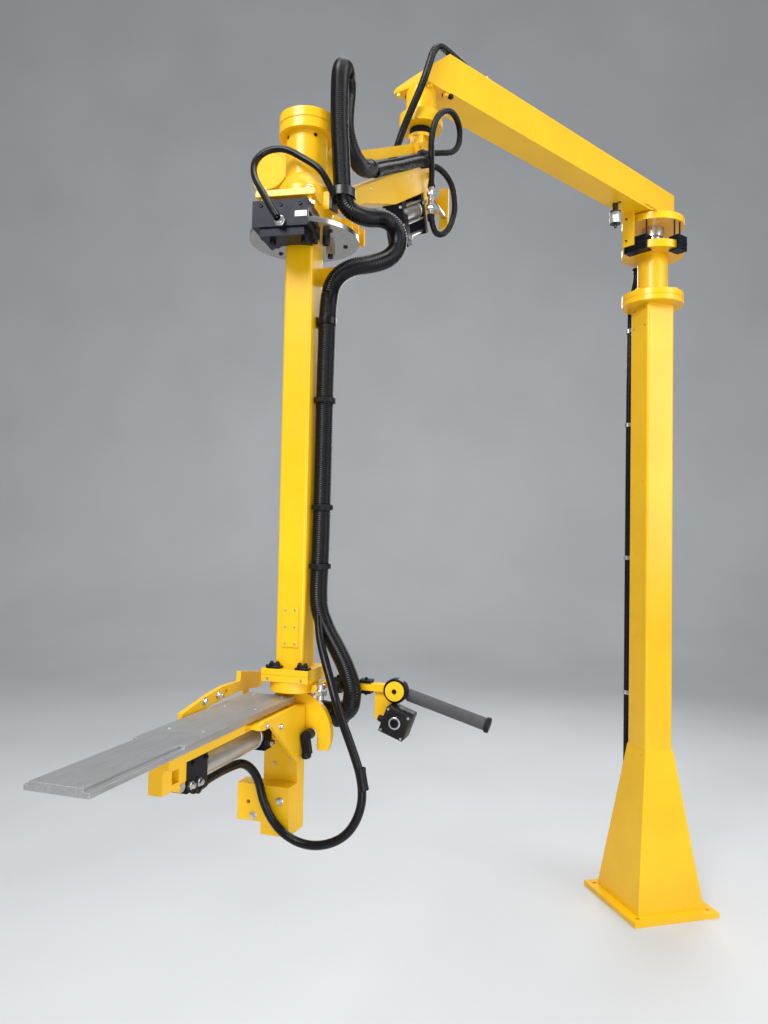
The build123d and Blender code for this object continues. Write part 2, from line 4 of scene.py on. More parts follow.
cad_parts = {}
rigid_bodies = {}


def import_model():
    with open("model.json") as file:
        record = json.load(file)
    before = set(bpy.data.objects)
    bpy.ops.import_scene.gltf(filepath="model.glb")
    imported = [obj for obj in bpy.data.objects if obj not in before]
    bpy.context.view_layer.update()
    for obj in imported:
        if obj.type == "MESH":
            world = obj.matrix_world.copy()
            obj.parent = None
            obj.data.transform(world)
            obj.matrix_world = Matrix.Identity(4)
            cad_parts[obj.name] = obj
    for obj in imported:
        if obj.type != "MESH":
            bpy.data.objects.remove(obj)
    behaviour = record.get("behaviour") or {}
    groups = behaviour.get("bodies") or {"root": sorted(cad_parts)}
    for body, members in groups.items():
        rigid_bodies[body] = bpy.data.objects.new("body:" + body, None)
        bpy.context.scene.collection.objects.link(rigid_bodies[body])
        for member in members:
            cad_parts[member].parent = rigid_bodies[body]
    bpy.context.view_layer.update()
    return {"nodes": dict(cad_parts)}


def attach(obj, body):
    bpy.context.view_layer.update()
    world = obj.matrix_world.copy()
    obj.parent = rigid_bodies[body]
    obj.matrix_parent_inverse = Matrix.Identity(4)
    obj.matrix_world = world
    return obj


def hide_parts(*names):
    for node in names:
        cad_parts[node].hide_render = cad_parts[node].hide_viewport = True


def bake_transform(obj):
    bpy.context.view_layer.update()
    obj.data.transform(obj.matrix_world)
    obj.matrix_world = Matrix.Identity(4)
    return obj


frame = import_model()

# ------------------------------------------------------------ camera
def make_camera():
    cam = bpy.data.cameras.new("view_camera")
    ob = bpy.data.objects.new("view_camera", cam)
    bpy.context.scene.collection.objects.link(ob)
    cam.sensor_fit = "AUTO"
    cam.sensor_width = 36.0
    cam.lens = 760.0 / 1024.0 * 36.0
    cam.clip_start = 0.05
    cam.clip_end = 200.0
    head, pitch, roll = math.radians(15.0), math.radians(2.1), math.radians(1.08)
    f = Vector((math.sin(head) * math.cos(pitch), math.cos(head) * math.cos(pitch), math.sin(pitch)))
    r = Vector((math.cos(head), -math.sin(head), 0.0))
    u = r.cross(f)
    rr = r * math.cos(roll) + u * math.sin(roll)
    uu = u * math.cos(roll) - r * math.sin(roll)
    m = Matrix((rr, uu, -f)).transposed().to_4x4()
    m.translation = Vector((-2.3043, -3.3684, 1.77))
    ob.matrix_world = m
    bpy.context.scene.camera = ob
make_camera()

# ------------------------------------------------------------ frames (mm in, metres out)
def at(x, y, yaw):
    return Matrix.Translation((x, y, 0.0)) @ Matrix.Rotation(math.radians(yaw), 4, "Z")
EX, EY = 1.664 * math.cos(math.radians(206.53)), 1.664 * math.sin(math.radians(206.53))
HDX, HDY = EX + 0.855 * math.cos(math.radians(232.4)), EY + 0.855 * math.sin(math.radians(232.4))
F0 = Matrix.Identity(4)
F1 = at(0, 0, 206.53)
F2 = at(EX, EY, 232.4)
FT = at(HDX, HDY, 237.24)
FH = at(HDX, HDY, 244.0)

def P(frm, x, y, z):
    return frm @ Vector((x / 1000.0, y / 1000.0, z / 1000.0))

def place(frm, x, y, z, axis=(0, 0, 1), roll=0.0):
    """A matrix at a point of a frame, its z along axis; it takes millimetres."""
    zz = (frm.to_3x3() @ Vector(axis)).normalized()
    h = Vector((0, 0, 1)) if abs(zz.z) < 0.9 else Vector((1, 0, 0))
    xx = h.cross(zz).normalized()
    yy = zz.cross(xx)
    c, s = math.cos(math.radians(roll)), math.sin(math.radians(roll))
    m = Matrix((xx * c + yy * s, yy * c - xx * s, zz)).transposed().to_4x4()
    m.translation = P(frm, x, y, z)
    return m @ Matrix.Scale(0.001, 4)

# ------------------------------------------------------------ node materials
class Mat:
    def __init__(self, name):
        self.m = bpy.data.materials.new(name)
        self.m.use_nodes = True
        self.t = self.m.node_tree
        self.b = self.t.nodes["Principled BSDF"]
        self.co = self.t.nodes.new("ShaderNodeTexCoord").outputs["Object"]

    def link(self, a, b):
        self.t.links.new(a, b)

    def put(self, sock, v):
        if isinstance(v, bpy.types.NodeSocket):
            self.link(v, sock)
        else:
            sock.default_value = v

    def math(self, op, a, b=0.0, c=0.0, clamp=False):
        n = self.t.nodes.new("ShaderNodeMath")
        n.operation = op
        n.use_clamp = clamp
        for i, v in enumerate((a, b, c)):
            self.put(n.inputs[i], v)
        return n.outputs[0]

    def axis(self, vec, scale=1.0, off=(0, 0, 0)):
        s = self.t.nodes.new("ShaderNodeVectorMath")
        s.operation = "SUBTRACT"
        self.link(self.co, s.inputs[0])
        s.inputs[1].default_value = tuple(off)
        n = self.t.nodes.new("ShaderNodeVectorMath")
        n.operation = "DOT_PRODUCT"
        self.link(s.outputs[0], n.inputs[0])
        n.inputs[1].default_value = tuple(Vector(vec) * scale)
        return n.outputs["Value"]

    def combine(self, x, y, z):
        n = self.t.nodes.new("ShaderNodeCombineXYZ")
        for i, v in enumerate((x, y, z)):
            self.put(n.inputs[i], v)
        return n.outputs[0]

    def noise(self, scale, detail=3.0, rough=0.5, vec=None, seed=0.0):
        n = self.t.nodes.new("ShaderNodeTexNoise")
        n.noise_dimensions = "4D"
        self.link(vec or self.co, n.inputs["Vector"])
        n.inputs["W"].default_value = seed
        n.inputs["Scale"].default_value = scale
        n.inputs["Detail"].default_value = detail
        n.inputs["Roughness"].default_value = rough
        return n.outputs["Fac"]

    def span(self, v, a, b, c, d):
        n = self.t.nodes.new("ShaderNodeMapRange")
        self.put(n.inputs["Value"], v)
        for k, x in (("From Min", a), ("From Max", b), ("To Min", c), ("To Max", d)):
            n.inputs[k].default_value = x
        return n.outputs[0]

    def mix(self, fac, a, b):
        n = self.t.nodes.new("ShaderNodeMix")
        n.data_type = "RGBA"
        self.put(n.inputs[0], fac)
        self.put(n.inputs[6], a)
        self.put(n.inputs[7], b)
        return n.outputs[2]

    def bevel(self, radius):
        n = self.t.nodes.new("ShaderNodeBevel")
        n.samples = 4
        n.inputs["Radius"].default_value = radius
        g = self.t.nodes.new("ShaderNodeNewGeometry")
        d = self.t.nodes.new("ShaderNodeVectorMath")
        d.operation = "DOT_PRODUCT"
        self.link(n.outputs[0], d.inputs[0])
        self.link(g.outputs["Normal"], d.inputs[1])
        edge = self.span(d.outputs["Value"], 0.995, 0.90, 0.0, 1.0)
        return n.outputs[0], edge

    def bump(self, h, dist, strength=1.0, normal=None):
        n = self.t.nodes.new("ShaderNodeBump")
        n.inputs["Distance"].default_value = dist
        n.inputs["Strength"].default_value = strength
        self.link(h, n.inputs["Height"])
        if normal is not None:
            self.link(normal, n.inputs["Normal"])
        return n.outputs[0]

    def out(self, **kw):
        names = {"color": "Base Color", "rough": "Roughness", "metal": "Metallic", "normal": "Normal", "coat": "Coat Weight",
                 "coat_rough": "Coat Roughness", "spec": "Specular IOR Level", "trans": "Transmission Weight", "ior": "IOR", "sheen": "Sheen Weight"}
        for k, v in kw.items():
            self.put(self.b.inputs[names[k]], v)
        return self.m


def col(r, g, b):
    return (r, g, b, 1.0)


def yellow(name="paint_yellow", seed=0.0, tone=1.0):
    m = Mat(name)
    big = m.noise(2.6, 4.0, 0.55, seed=seed)
    mid = m.noise(21.0, 5.0, 0.6, seed=seed + 3)
    c = m.mix(m.span(big, 0.35, 0.65, 0.0, 1.0), col(0.79 * tone, 0.435 * tone, 0.002), col(0.88 * tone, 0.505 * tone, 0.004))
    c = m.mix(m.span(mid, 0.60, 0.78, 0.0, 0.35), c, col(0.66 * tone, 0.345 * tone, 0.004))
    spots = m.span(m.noise(140.0, 2.0, 0.5, seed=seed + 5), 0.70, 0.76, 0.0, 0.55)
    c = m.mix(spots, c, col(0.42, 0.22, 0.02))
    nrm, edge = m.bevel(0.0016)
    # painted highlight: bevel edges lightened to a pale yellow in noisy patches
    wear_and_painted_highlight = m.math("MULTIPLY", edge, m.span(m.noise(34.0, 4.0, 0.7, seed=seed + 8), 0.50, 0.66, 0.0, 0.75))
    c = m.mix(wear_and_painted_highlight, c, col(0.96, 0.68, 0.16))
    chips = m.math("MULTIPLY", edge, m.span(m.noise(90.0, 3.0, 0.7, seed=seed + 9), 0.64, 0.70, 0.0, 0.8))
    c = m.mix(chips, c, col(0.24, 0.21, 0.17))
    peel = m.noise(420.0, 2.0, 0.5, seed=seed + 11)
    n = m.bump(peel, 0.00012, 0.55, nrm)
    n = m.bump(m.noise(9.0, 2.0, 0.5, seed=seed + 12), 0.0016, 0.35, n)
    r = m.math("ADD", m.span(mid, 0.3, 0.7, 0.26, 0.40), m.math("MULTIPLY", spots, 0.3))
    return m.out(color=c, rough=r, normal=n, coat=0.15, coat_rough=0.14, spec=0.40)


def brushed(name, base, dark, along, across, rough=(0.26, 0.42), up=(0, 0, 1), scale=620.0, seed=0.0):
    m = Mat(name)
    v = m.combine(m.axis(along, 9.0), m.axis(across, scale), m.axis(up, scale))
    g = m.noise(1.0, 4.0, 0.65, vec=v, seed=seed)
    stain = m.noise(11.0, 4.0, 0.6, seed=seed + 2)
    c = m.mix(m.span(g, 0.32, 0.68, 0.0, 1.0), col(*dark), col(*base))
    c = m.mix(m.span(stain, 0.56, 0.75, 0.0, 0.5), c, col(*[0.62 * q for q in dark]))
    nrm, edge = m.bevel(0.0009)
    # painted highlight: bevel edges lightened above the base tone
    c = m.mix(m.math("MULTIPLY", edge, 0.6), c, col(*[min(1.0, 1.15 * q) for q in base]))
    n = m.bump(g, 0.00012, 0.5, nrm)
    return m.out(color=c, metal=0.9, rough=m.span(stain, 0.3, 0.7, rough[0], rough[1]), normal=n)


def turned(name, base, dark, centre, rough=(0.2, 0.34), pitch=900.0, seed=0.0):
    """Lathe-turned metal: fine rings round an upright axis."""
    m = Mat(name)
    x = m.axis((1, 0, 0), 1.0, centre)
    y = m.axis((0, 1, 0), 1.0, centre)
    r = m.math("SQRT", m.math("ADD", m.math("MULTIPLY", x, x), m.math("MULTIPLY", y, y)))
    v = m.combine(m.math("MULTIPLY", r, pitch), m.axis((0, 0, 1), 500.0), 0.0)
    g = m.noise(1.0, 3.0, 0.6, vec=v, seed=seed)
    stain = m.noise(16.0, 4.0, 0.6, seed=seed + 2)
    c = m.mix(m.span(g, 0.3, 0.7, 0.0, 1.0), col(*dark), col(*base))
    c = m.mix(m.span(stain, 0.55, 0.78, 0.0, 0.30), c, col(0.34, 0.29, 0.23))
    nrm, edge = m.bevel(0.0009)
    n = m.bump(g, 0.00005, 0.35, nrm)
    return m.out(color=c, metal=0.95, rough=m.span(stain, 0.3, 0.7, rough[0], rough[1]), normal=n)


def zinc(name="zinc_plate"):
    m = Mat(name)
    a = m.noise(70.0, 4.0, 0.6)
    f = m.noise(900.0, 2.0, 0.5, seed=4)
    c = m.mix(m.span(a, 0.35, 0.7, 0.0, 1.0), col(0.66, 0.67, 0.68), col(0.47, 0.47, 0.46))
    return m.out(color=c, metal=1.0, rough=m.span(a, 0.3, 0.7, 0.20, 0.38), normal=m.bump(f, 0.00006, 0.5))


def black_metal(name, base=(0.014, 0.014, 0.018), lo=0.30, hi=0.48, metal=0.35, seed=0.0):
    m = Mat(name)
    a = m.noise(42.0, 4.0, 0.6, seed=seed)
    f = m.noise(700.0, 2.0, 0.5, seed=seed + 3)
    nrm, edge = m.bevel(0.0010)
    c = m.mix(m.span(a, 0.45, 0.75, 0.0, 1.0), col(*base), col(*[q * 1.6 + 0.002 for q in base]))
    wear_and_painted_highlight = m.math("MULTIPLY", edge, m.span(m.noise(60.0, 4.0, 0.7, seed=seed + 5), 0.46, 0.62, 0.10, 0.7))
    c = m.mix(wear_and_painted_highlight, c, col(0.11, 0.11, 0.12))
    return m.out(color=c, metal=metal, rough=m.span(a, 0.3, 0.7, lo, hi), normal=m.bump(f, 0.00006, 0.3, nrm), spec=0.14)


def rubber(name, base=(0.012, 0.012, 0.014), lo=0.36, hi=0.55, seed=0.0, dusty=0.22):
    m = Mat(name)
    a = m.noise(26.0, 4.0, 0.6, seed=seed)
    f = m.noise(520.0, 3.0, 0.55, seed=seed + 3)
    dust = m.span(m.noise(75.0, 4.0, 0.65, seed=seed + 6), 0.55, 0.75, 0.0, dusty)
    c = m.mix(dust, col(*base), col(0.026, 0.025, 0.024))
    return m.out(color=c, rough=m.span(a, 0.3, 0.7, lo, hi), normal=m.bump(f, 0.00006, 0.35), spec=0.24)


def foam(name="grip_grey_foam"):
    m = Mat(name)
    cells = m.noise(420.0, 4.0, 0.7)
    wear_and_painted_highlight = m.noise(22.0, 4.0, 0.6, seed=2)
    c = m.mix(m.span(cells, 0.3, 0.7, 0.0, 1.0), col(0.030, 0.030, 0.032), col(0.075, 0.075, 0.078))
    c = m.mix(m.span(wear_and_painted_highlight, 0.5, 0.75, 0.0, 0.5), c, col(0.035, 0.033, 0.031))
    n = m.bump(cells, 0.0006, 0.6)
    return m.out(color=c, rough=m.span(wear_and_painted_highlight, 0.3, 0.7, 0.78, 0.95), normal=n, sheen=0.15)


def bowl(name="bowl_plastic"):
    m = Mat(name)
    z = m.axis((0, 0, 1))
    top = m.span(z, 3.3835, 3.3845, 0.0, 1.0)
    low = m.span(z, 3.3330, 3.3318, 0.0, 1.0)
    dark = m.math("MAXIMUM", top, low)
    film = m.noise(60.0, 4.0, 0.6)
    c = m.mix(m.span(film, 0.3, 0.7, 0.0, 1.0), col(0.62, 0.67, 0.70), col(0.74, 0.77, 0.78))
    c = m.mix(dark, c, col(0.02, 0.02, 0.025))
    t = m.math("MULTIPLY", m.math("SUBTRACT", 1.0, dark), 0.55)
    nrm, edge = m.bevel(0.0015)
    return m.out(color=c, rough=m.span(film, 0.3, 0.7, 0.10, 0.28), normal=m.bump(film, 0.0003, 0.3, nrm), trans=t, ior=1.48)


def plain_label(name="blank_plate"):
    m = Mat(name)
    a = m.noise(60.0, 4.0, 0.6)
    c = m.mix(m.span(a, 0.4, 0.7, 0.0, 1.0), col(0.80, 0.81, 0.80), col(0.66, 0.66, 0.64))
    return m.out(color=c, rough=m.span(a, 0.3, 0.7, 0.35, 0.55), normal=m.bump(a, 0.0002, 0.3))


XT = FT.to_3x3() @ Vector((1, 0, 0))
YT = FT.to_3x3() @ Vector((0, 1, 0))
X2 = F2.to_3x3() @ Vector((1, 0, 0))
Y2 = F2.to_3x3() @ Vector((0, 1, 0))
def bracket_paint():
    m = Mat("bracket_paint")
    q = P(F2, 876, 118, 2641)
    e = P(F2, 898, 92, 2620)
    def near(p, r0, r1):
        x, y = m.axis((1, 0, 0), 1.0, p), m.axis((0, 1, 0), 1.0, p)
        return m.span(m.math("SQRT", m.math("ADD", m.math("MULTIPLY", x, x), m.math("MULTIPLY", y, y))), r0, r1, 1.0, 0.0)
    dark = near(q, 0.0345, 0.0350)
    a = m.noise(30.0, 4.0, 0.6)
    y = m.mix(m.span(a, 0.35, 0.65, 0.0, 1.0), col(0.79, 0.435, 0.002), col(0.88, 0.505, 0.004))
    c = m.mix(dark, y, m.mix(a, col(0.006, 0.006, 0.009), col(0.016, 0.016, 0.02)))
    nrm, edge = m.bevel(0.0014)
    c = m.mix(m.math("MULTIPLY", edge, m.span(m.noise(60.0, 4.0, 0.7, seed=5), 0.50, 0.66, 0.0, 0.5)), c, col(0.55, 0.45, 0.25))
    return m.out(color=c, rough=m.span(a, 0.3, 0.7, 0.28, 0.42), normal=m.bump(m.noise(420.0, 2.0, 0.5, seed=8), 0.00012, 0.5, nrm), coat=0.1)
BRK = bracket_paint()
YEL = [yellow("paint_yellow_%d" % i, 10.0 * i) for i in range(4)]
HEADC = (HDX, HDY, 0)
STEEL = brushed("steel_brushed", (0.63, 0.63, 0.64), (0.44, 0.44, 0.45), (0, 0, 1), (1, 0, 0), up=(0, 1, 0))
TURN_HEAD = turned("steel_turned_head", (0.50, 0.49, 0.47), (0.40, 0.39, 0.37), HEADC, rough=(0.16, 0.24), pitch=500.0)
TURN_COL = turned("steel_turned_column", (0.62, 0.62, 0.63), (0.42, 0.42, 0.43), (0, 0, 0))
ALU = brushed("aluminium_barrel", (0.60, 0.61, 0.62), (0.46, 0.47, 0.48), tuple(XT), tuple(YT), rough=(0.30, 0.44), scale=380.0)
ALU_ARM = brushed("arm_cylinder_barrel", (0.50, 0.51, 0.52), (0.34, 0.35, 0.36), (X2.x * 0.877, X2.y * 0.877, -0.48), tuple(Y2), rough=(0.26, 0.40), up=(X2.x * 0.48, X2.y * 0.48, 0.877), scale=380.0, seed=5)
def mill():
    m = Mat("plate_mill_grey")
    v = m.combine(m.axis(tuple(XT), 7.0), m.axis(tuple(YT), 330.0), m.axis((0, 0, 1), 330.0))
    g = m.noise(1.0, 4.0, 0.62, vec=v)
    st = m.noise(7.0, 4.0, 0.6, seed=3)
    c = m.mix(m.span(g, 0.3, 0.7, 0.0, 1.0), col(0.35, 0.355, 0.36), col(0.50, 0.505, 0.51))
    c = m.mix(m.span(st, 0.5, 0.75, 0.0, 0.6), c, col(0.24, 0.235, 0.22))
    scr = m.span(m.noise(1.0, 2.0, 0.5, vec=m.combine(m.axis(tuple(XT), 60.0), m.axis(tuple(YT), 9.0), m.axis((0, 0, 1), 9.0)), seed=7), 0.70, 0.74, 0.0, 0.35)
    c = m.mix(scr, c, col(0.60, 0.60, 0.59))
    nrm, edge = m.bevel(0.0010)
    # painted highlight: bevel edges lightened towards pale grey
    c = m.mix(m.math("MULTIPLY", edge, 0.7), c, col(0.85, 0.85, 0.85))
    return m.out(color=c, metal=0.75, rough=m.span(st, 0.3, 0.7, 0.32, 0.50), normal=m.bump(g, 0.00012, 0.45, nrm))
MILL = mill()
ZINC = zinc()
BLK = black_metal("black_anodised", (0.004, 0.005, 0.011), 0.24, 0.40, 0.20, seed=1)
BLK_P = black_metal("black_painted", (0.008, 0.008, 0.009), 0.30, 0.48, 0.0, seed=6)
SCREW = black_metal("black_oxide", (0.020, 0.019, 0.018), 0.28, 0.44, 0.8, seed=9)
RUB = rubber("hose_rubber", (0.003, 0.003, 0.004), 0.22, 0.36)
CONDUIT = rubber("conduit_plastic", (0.0025, 0.0025, 0.0035), 0.20, 0.32, seed=4, dusty=0.06)
FOAM = foam()
BOWL = bowl()
LABEL = plain_label()

# ------------------------------------------------------------ mesh building
class Mesh:
    def __init__(self):
        self.v, self.f, self.k = [], [], []

    def ring_radius(self, r, kind, th):
        if kind == "h":
            return r / math.cos((th % (math.pi / 3)) - math.pi / 6)
        return r

    def lathe(self, m, prof, seg=24, mat=0):
        """prof: (radius, z, kind); kind o is round and h a hexagon, its radius then half the width across flats."""
        rings = []
        for q in prof:
            r, z = q[0], q[1]
            kind = q[2] if len(q) > 2 else "o"
            if r <= 1e-6:
                rings.append([len(self.v)])
                self.v.append(m @ Vector((0, 0, z)))
                continue
            ids = []
            for i in range(seg):
                th = 2 * math.pi * i / seg
                rr = self.ring_radius(r, kind, th)
                ids.append(len(self.v))
                self.v.append(m @ Vector((rr * math.cos(th), rr * math.sin(th), z)))
            rings.append(ids)
        for a, b in zip(rings, rings[1:]):
            for i in range(seg):
                j = (i + 1) % seg
                if len(a) == 1 and len(b) == 1:
                    continue
                if len(a) == 1:
                    self.f.append((a[0], b[j], b[i]))
                elif len(b) == 1:
                    self.f.append((a[i], a[j], b[0]))
                else:
                    self.f.append((a[i], a[j], b[j], b[i]))
                self.k.append(mat)

    def block(self, m, x0, x1, y0, y1, z0, z1, b=1.0, mat=0, seg=2):
        bm = bmesh.new()
        bmesh.ops.create_cube(bm, size=1.0)
        for v in bm.verts:
            v.co = Vector(((x0 + x1) / 2 + v.co.x * (x1 - x0), (y0 + y1) / 2 + v.co.y * (y1 - y0), (z0 + z1) / 2 + v.co.z * (z1 - z0)))
        if b > 0:
            bmesh.ops.bevel(bm, geom=bm.edges[:], offset=b, segments=seg, profile=0.5, affect="EDGES")
        bm.verts.index_update()
        o = len(self.v)
        self.v += [m @ v.co for v in bm.verts]
        for f in bm.faces:
            self.f.append(tuple(o + v.index for v in f.verts))
            self.k.append(mat)
        bm.free()

    def tube(self, path, radius, seg=16, mat=0, close=True):
        """Rings round points in metres; radius is a function of the ring's number, in metres."""
        t = []
        n = len(path)
        for i in range(n):
            t.append((path[min(i + 1, n - 1)] - path[max(i - 1, 0)]).normalized())
        u = t[0].orthogonal().normalized()
        rings = []
        for i in range(n):
            if i:
                u = (u - t[i] * u.dot(t[i])).normalized()
            w = t[i].cross(u)
            r = radius(i)
            ids = []
            for j in range(seg):
                a = 2 * math.pi * j / seg
                ids.append(len(self.v))
                self.v.append(path[i] + (u * math.cos(a) + w * math.sin(a)) * r)
            rings.append(ids)
        for a, b in zip(rings, rings[1:]):
            for j in range(seg):
                k = (j + 1) % seg
                self.f.append((a[j], a[k], b[k], b[j]))
                self.k.append(mat)
        if close:
            for ids, s in ((rings[0], -1), (rings[-1], 1)):
                self.f.append(tuple(ids if s > 0 else ids[::-1]))
                self.k.append(mat)

    def hexbolt(self, frm, x, y, z, axis, af=16.0, h=8.0, washer=True, roll=0.0, mat=0):
        m = place(frm, x, y, z, axis, roll)
        a = af / 2
        p = [(0, 0)]
        if washer:
            p += [(a * 1.45, 0), (a * 1.45, 1.4), (a * 1.38, 1.7)]
            z0 = 1.7
        else:
            z0 = 0
        p += [(a * 0.97, z0, "h"), (a, z0 + 0.5, "h"), (a, z0 + h * 0.84, "h"), (a * 0.97, z0 + h, "o"), (a * 0.6, z0 + h, "o"), (a * 0.55, z0 + h * 0.96, "o"), (0, z0 + h * 0.96)]
        self.lathe(m, p, 24, mat)

    def socket(self, frm, x, y, z, axis, d=10.0, h=6.0, roll=0.0, mat=0):
        m = place(frm, x, y, z, axis, roll)
        r = d / 2
        self.lathe(m, [(0, 0), (r, 0), (r, h * 0.88), (r * 0.93, h), (r * 0.60, h), (r * 0.54, h * 0.97, "h"), (r * 0.52, h * 0.45, "h"), (0, h * 0.40)], 24, mat)

    def round_head(self, frm, x, y, z, axis, d=8.0, h=2.6, roll=0.0, mat=0):
        m = place(frm, x, y, z, axis, roll)
        r = d / 2
        self.lathe(m, [(0, 0), (r, 0), (r * 0.97, h * 0.45), (r * 0.8, h * 0.85), (r * 0.5, h), (r * 0.30, h * 0.98, "h"), (r * 0.28, h * 0.55, "h"), (0, h * 0.5)], 24, mat)


def piece(name, mesh, mats, body=None, replaces=(), sharp=35.0):
    me = bpy.data.meshes.new(name)
    me.from_pydata([tuple(v) for v in mesh.v], [], mesh.f)
    mats = mats if isinstance(mats, (list, tuple)) else [mats]
    for m in mats:
        me.materials.append(m)
    me.polygons.foreach_set("material_index", mesh.k)
    bm = bmesh.new()
    bm.from_mesh(me)
    bmesh.ops.recalc_face_normals(bm, faces=bm.faces[:])
    bm.to_mesh(me)
    bm.free()
    me.shade_smooth()
    me.set_sharp_from_angle(angle=math.radians(sharp))
    me.update()
    ob = bpy.data.objects.new(name, me)
    bpy.context.scene.collection.objects.link(ob)
    if replaces:
        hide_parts(*replaces)
    if body:
        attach(ob, body)
    return ob

# ------------------------------------------------------------ hoses
def spline_points(name, pts):
    cu = bpy.data.curves.new(name + "_line", "CURVE")
    cu.dimensions = "3D"
    cu.resolution_u = 40
    sp = cu.splines.new("NURBS")
    sp.points.add(len(pts) - 1)
    for q, p in zip(sp.points, pts):
        q.co = (p.x, p.y, p.z, 1.0)
    sp.order_u = 3
    sp.use_endpoint_u = True
    ob = bpy.data.objects.new(name + "_line", cu)
    bpy.context.scene.collection.objects.link(ob)
    bpy.context.view_layer.update()
    dg = bpy.context.evaluated_depsgraph_get()
    me = bpy.data.meshes.new_from_object(ob.evaluated_get(dg))
    line = [v.co.copy() for v in me.vertices]
    bpy.data.meshes.remove(me)
    bpy.data.objects.remove(ob)
    bpy.data.curves.remove(cu)
    if (line[0] - pts[0]).length > (line[-1] - pts[0]).length:
        line.reverse()
    return line


def walk(line, step):
    """Points an even step apart along the spline's own points."""
    s = [0.0]
    for a, b in zip(line, line[1:]):
        s.append(s[-1] + (b - a).length)
    n = max(2, int(round(s[-1] / step)))
    out, i = [], 0
    for k in range(n + 1):
        q = s[-1] * k / n
        while i < len(s) - 2 and s[i + 1] < q:
            i += 1
        w = (q - s[i]) / max(1e-9, s[i + 1] - s[i])
        out.append(line[i].lerp(line[i + 1], min(1.0, max(0.0, w))))
    return out, s[-1]


def hose(name, frm, pts, d, pitch=0.0, depth=0.0, seg=16):
    """frm is a frame, or each point carries its own."""
    w = [P(*(([frm] + list(p)) if len(p) == 3 else (p[0], p[1], p[2], p[3]))) for p in pts]
    line = spline_points(name, w)
    r = d / 2000.0
    m = Mesh()
    if pitch:
        path, length = walk(line, pitch / 4000.0)
        prof = (0.0, 0.0, 1.0, 1.0)
        m.tube(path, lambda i: r - depth / 1000.0 * prof[i % 4], seg)
    else:
        path, length = walk(line, 0.006)
        m.tube(path, lambda i: r, seg)
    return m, path, length, w


def rod_pt(u, v, y):
    a = math.atan2(402.0, 735.0)
    return (u * math.cos(a) + v * math.sin(a), y, 3215.0 - u * math.sin(a) + v * math.cos(a))

V0 = -28.0
ROUTES = {
    "column_hose": (F0, 26, [(-28, 167, 300), (-28, 167, 3044), (-24, 143, 3098), (-20, 120, 3150), (-18, 116, 3214)]),
    "knuckle_hose": (F2, 22, [(62, 68, 3030), (80, 76, 3076), (116, 84, 3122), (126, 88, 3184), (98, 94, 3256), (44, 104, 3310), (-18, 118, 3336), (-74, 126, 3314), (-92, 124, 3258), (-58, 112, 3204), (8, 84, 3176), (64, 52, 3152), (112, 46, 3128)]),
    "knuckle_loop": (F2, 22, [(112, 57, 3098), (66, 60, 3108), (12, 86, 3116), (-44, 112, 3080), (-66, 118, 3004), (-50, 113, 2946), (-18, 104, 2894), (22, 90, 2866), (54, 75, 2872), (62, 68.3, 2925)]),
    "elbow_hose": (F2, 26, [(F1, 1340, 24, 3593), (F1, 1450, 30, 3592), (F1, 1560, 44, 3597), (F1, 1640, 66, 3582), (F1, 1686, 82, 3532), (F1, 1710, 86, 3468), (110, 46, 3385), (112, 12, 3310), (108, -24, 3240), (84, -62, 3176), (100, -66, 3136), (128, -60, 3112)]),
    "arm_hose_upper": (F2, 20, [(112, 46, 3128), rod_pt(170, V0, 38), rod_pt(235, V0, 15), rod_pt(300, V0 - 0.5, 12), rod_pt(440, V0, 12.5), rod_pt(560, V0 - 1, 16), (596, 57, 2860)]),
    "arm_hose_lower": (F2, 34, [(112, 57, 3098), rod_pt(190, V0 - 16, 59), rod_pt(300, V0 - 18, 59), rod_pt(420, V0 - 20, 59), rod_pt(545, V0 - 18, 68), (597, 82, 2834)]),
    "arm_hose_far": (F2, 20, [(128, -58, 3112), rod_pt(200, V0, -46), rod_pt(290, V0, -14), rod_pt(380, V0 - 0.5, -12), rod_pt(620, V0, -13)]),
    "caliper_hose": (F2, 17, [(FH, 172, -12, 2531), (1022, -2, 2566), (1009, -38, 2618), (984, -78, 2672), (966, -90, 2722), (952, -60, 2752), (942, -12, 2752), (933, 32, 2724), (930, 76, 2694), (920, 96, 2662), (908, 110, 2624)]),
    "loop_hose": (F2, 46, [(612, 76, 2836), (668, 81, 2808), (726, 88, 2799), (775, 91, 2806), (806, 92, 2832), (816, 91, 2872), (809, 89, 2915), (799, 88, 2952), (802, 89, 2984), (824, 93, 3001), (852, 98, 2994), (870, 101, 2966), (877, 103, 2920), (878, 104.5, 2836), (876, 110, 2750), (876, 116.5, 2660)]),
    "sweep_hose": (FT, 46, [(F2, 876, 116.5, 2660), (31.1, 117.9, 2610.1), (0, 166, 2586), (-36, 206, 2600), (-58, 234, 2576), (-60, 240, 2532), (-42, 222, 2494), (-14, 184, 2472), (4, 132, 2464), (4, 84, 2436), (-8, 66.5, 2385), (-8, 65.5, 2330)]),
    "tube_hose": (FT, 46, [(-8, 65.5, 2330), (-8, 64, 2235), (-8, 63, 2125), (-8, 62.6, 1985), (-6, 62.6, 1850), (-1, 62.6, 1710), (7, 62.8, 1630), (5, 67, 1585), (-1, 82, 1545), (-5, 112, 1495), (-7, 138, 1446), (-9, 153.5, 1400), (-11, 154, 1376), (-20, 144, 1338), (-46, 112, 1322)]),
    "tool_hose": (FT, 21, [(14, 67, 1588), (24, 73, 1552), (38, 85, 1510), (54, 107, 1463), (76, 131, 1420), (92, 149, 1385), (100, 167, 1345), (106, 194, 1290), (112, 226, 1215), (114, 228, 1148), (114, 196, 1084), (114, 136, 1050), (113, 72, 1046), (113, 14, 1074), (114, -24, 1130), (118, -38, 1196), (152, -58, 1236), (215, -63, 1240), (290, -62, 1243), (350, -60, 1240)]),
}
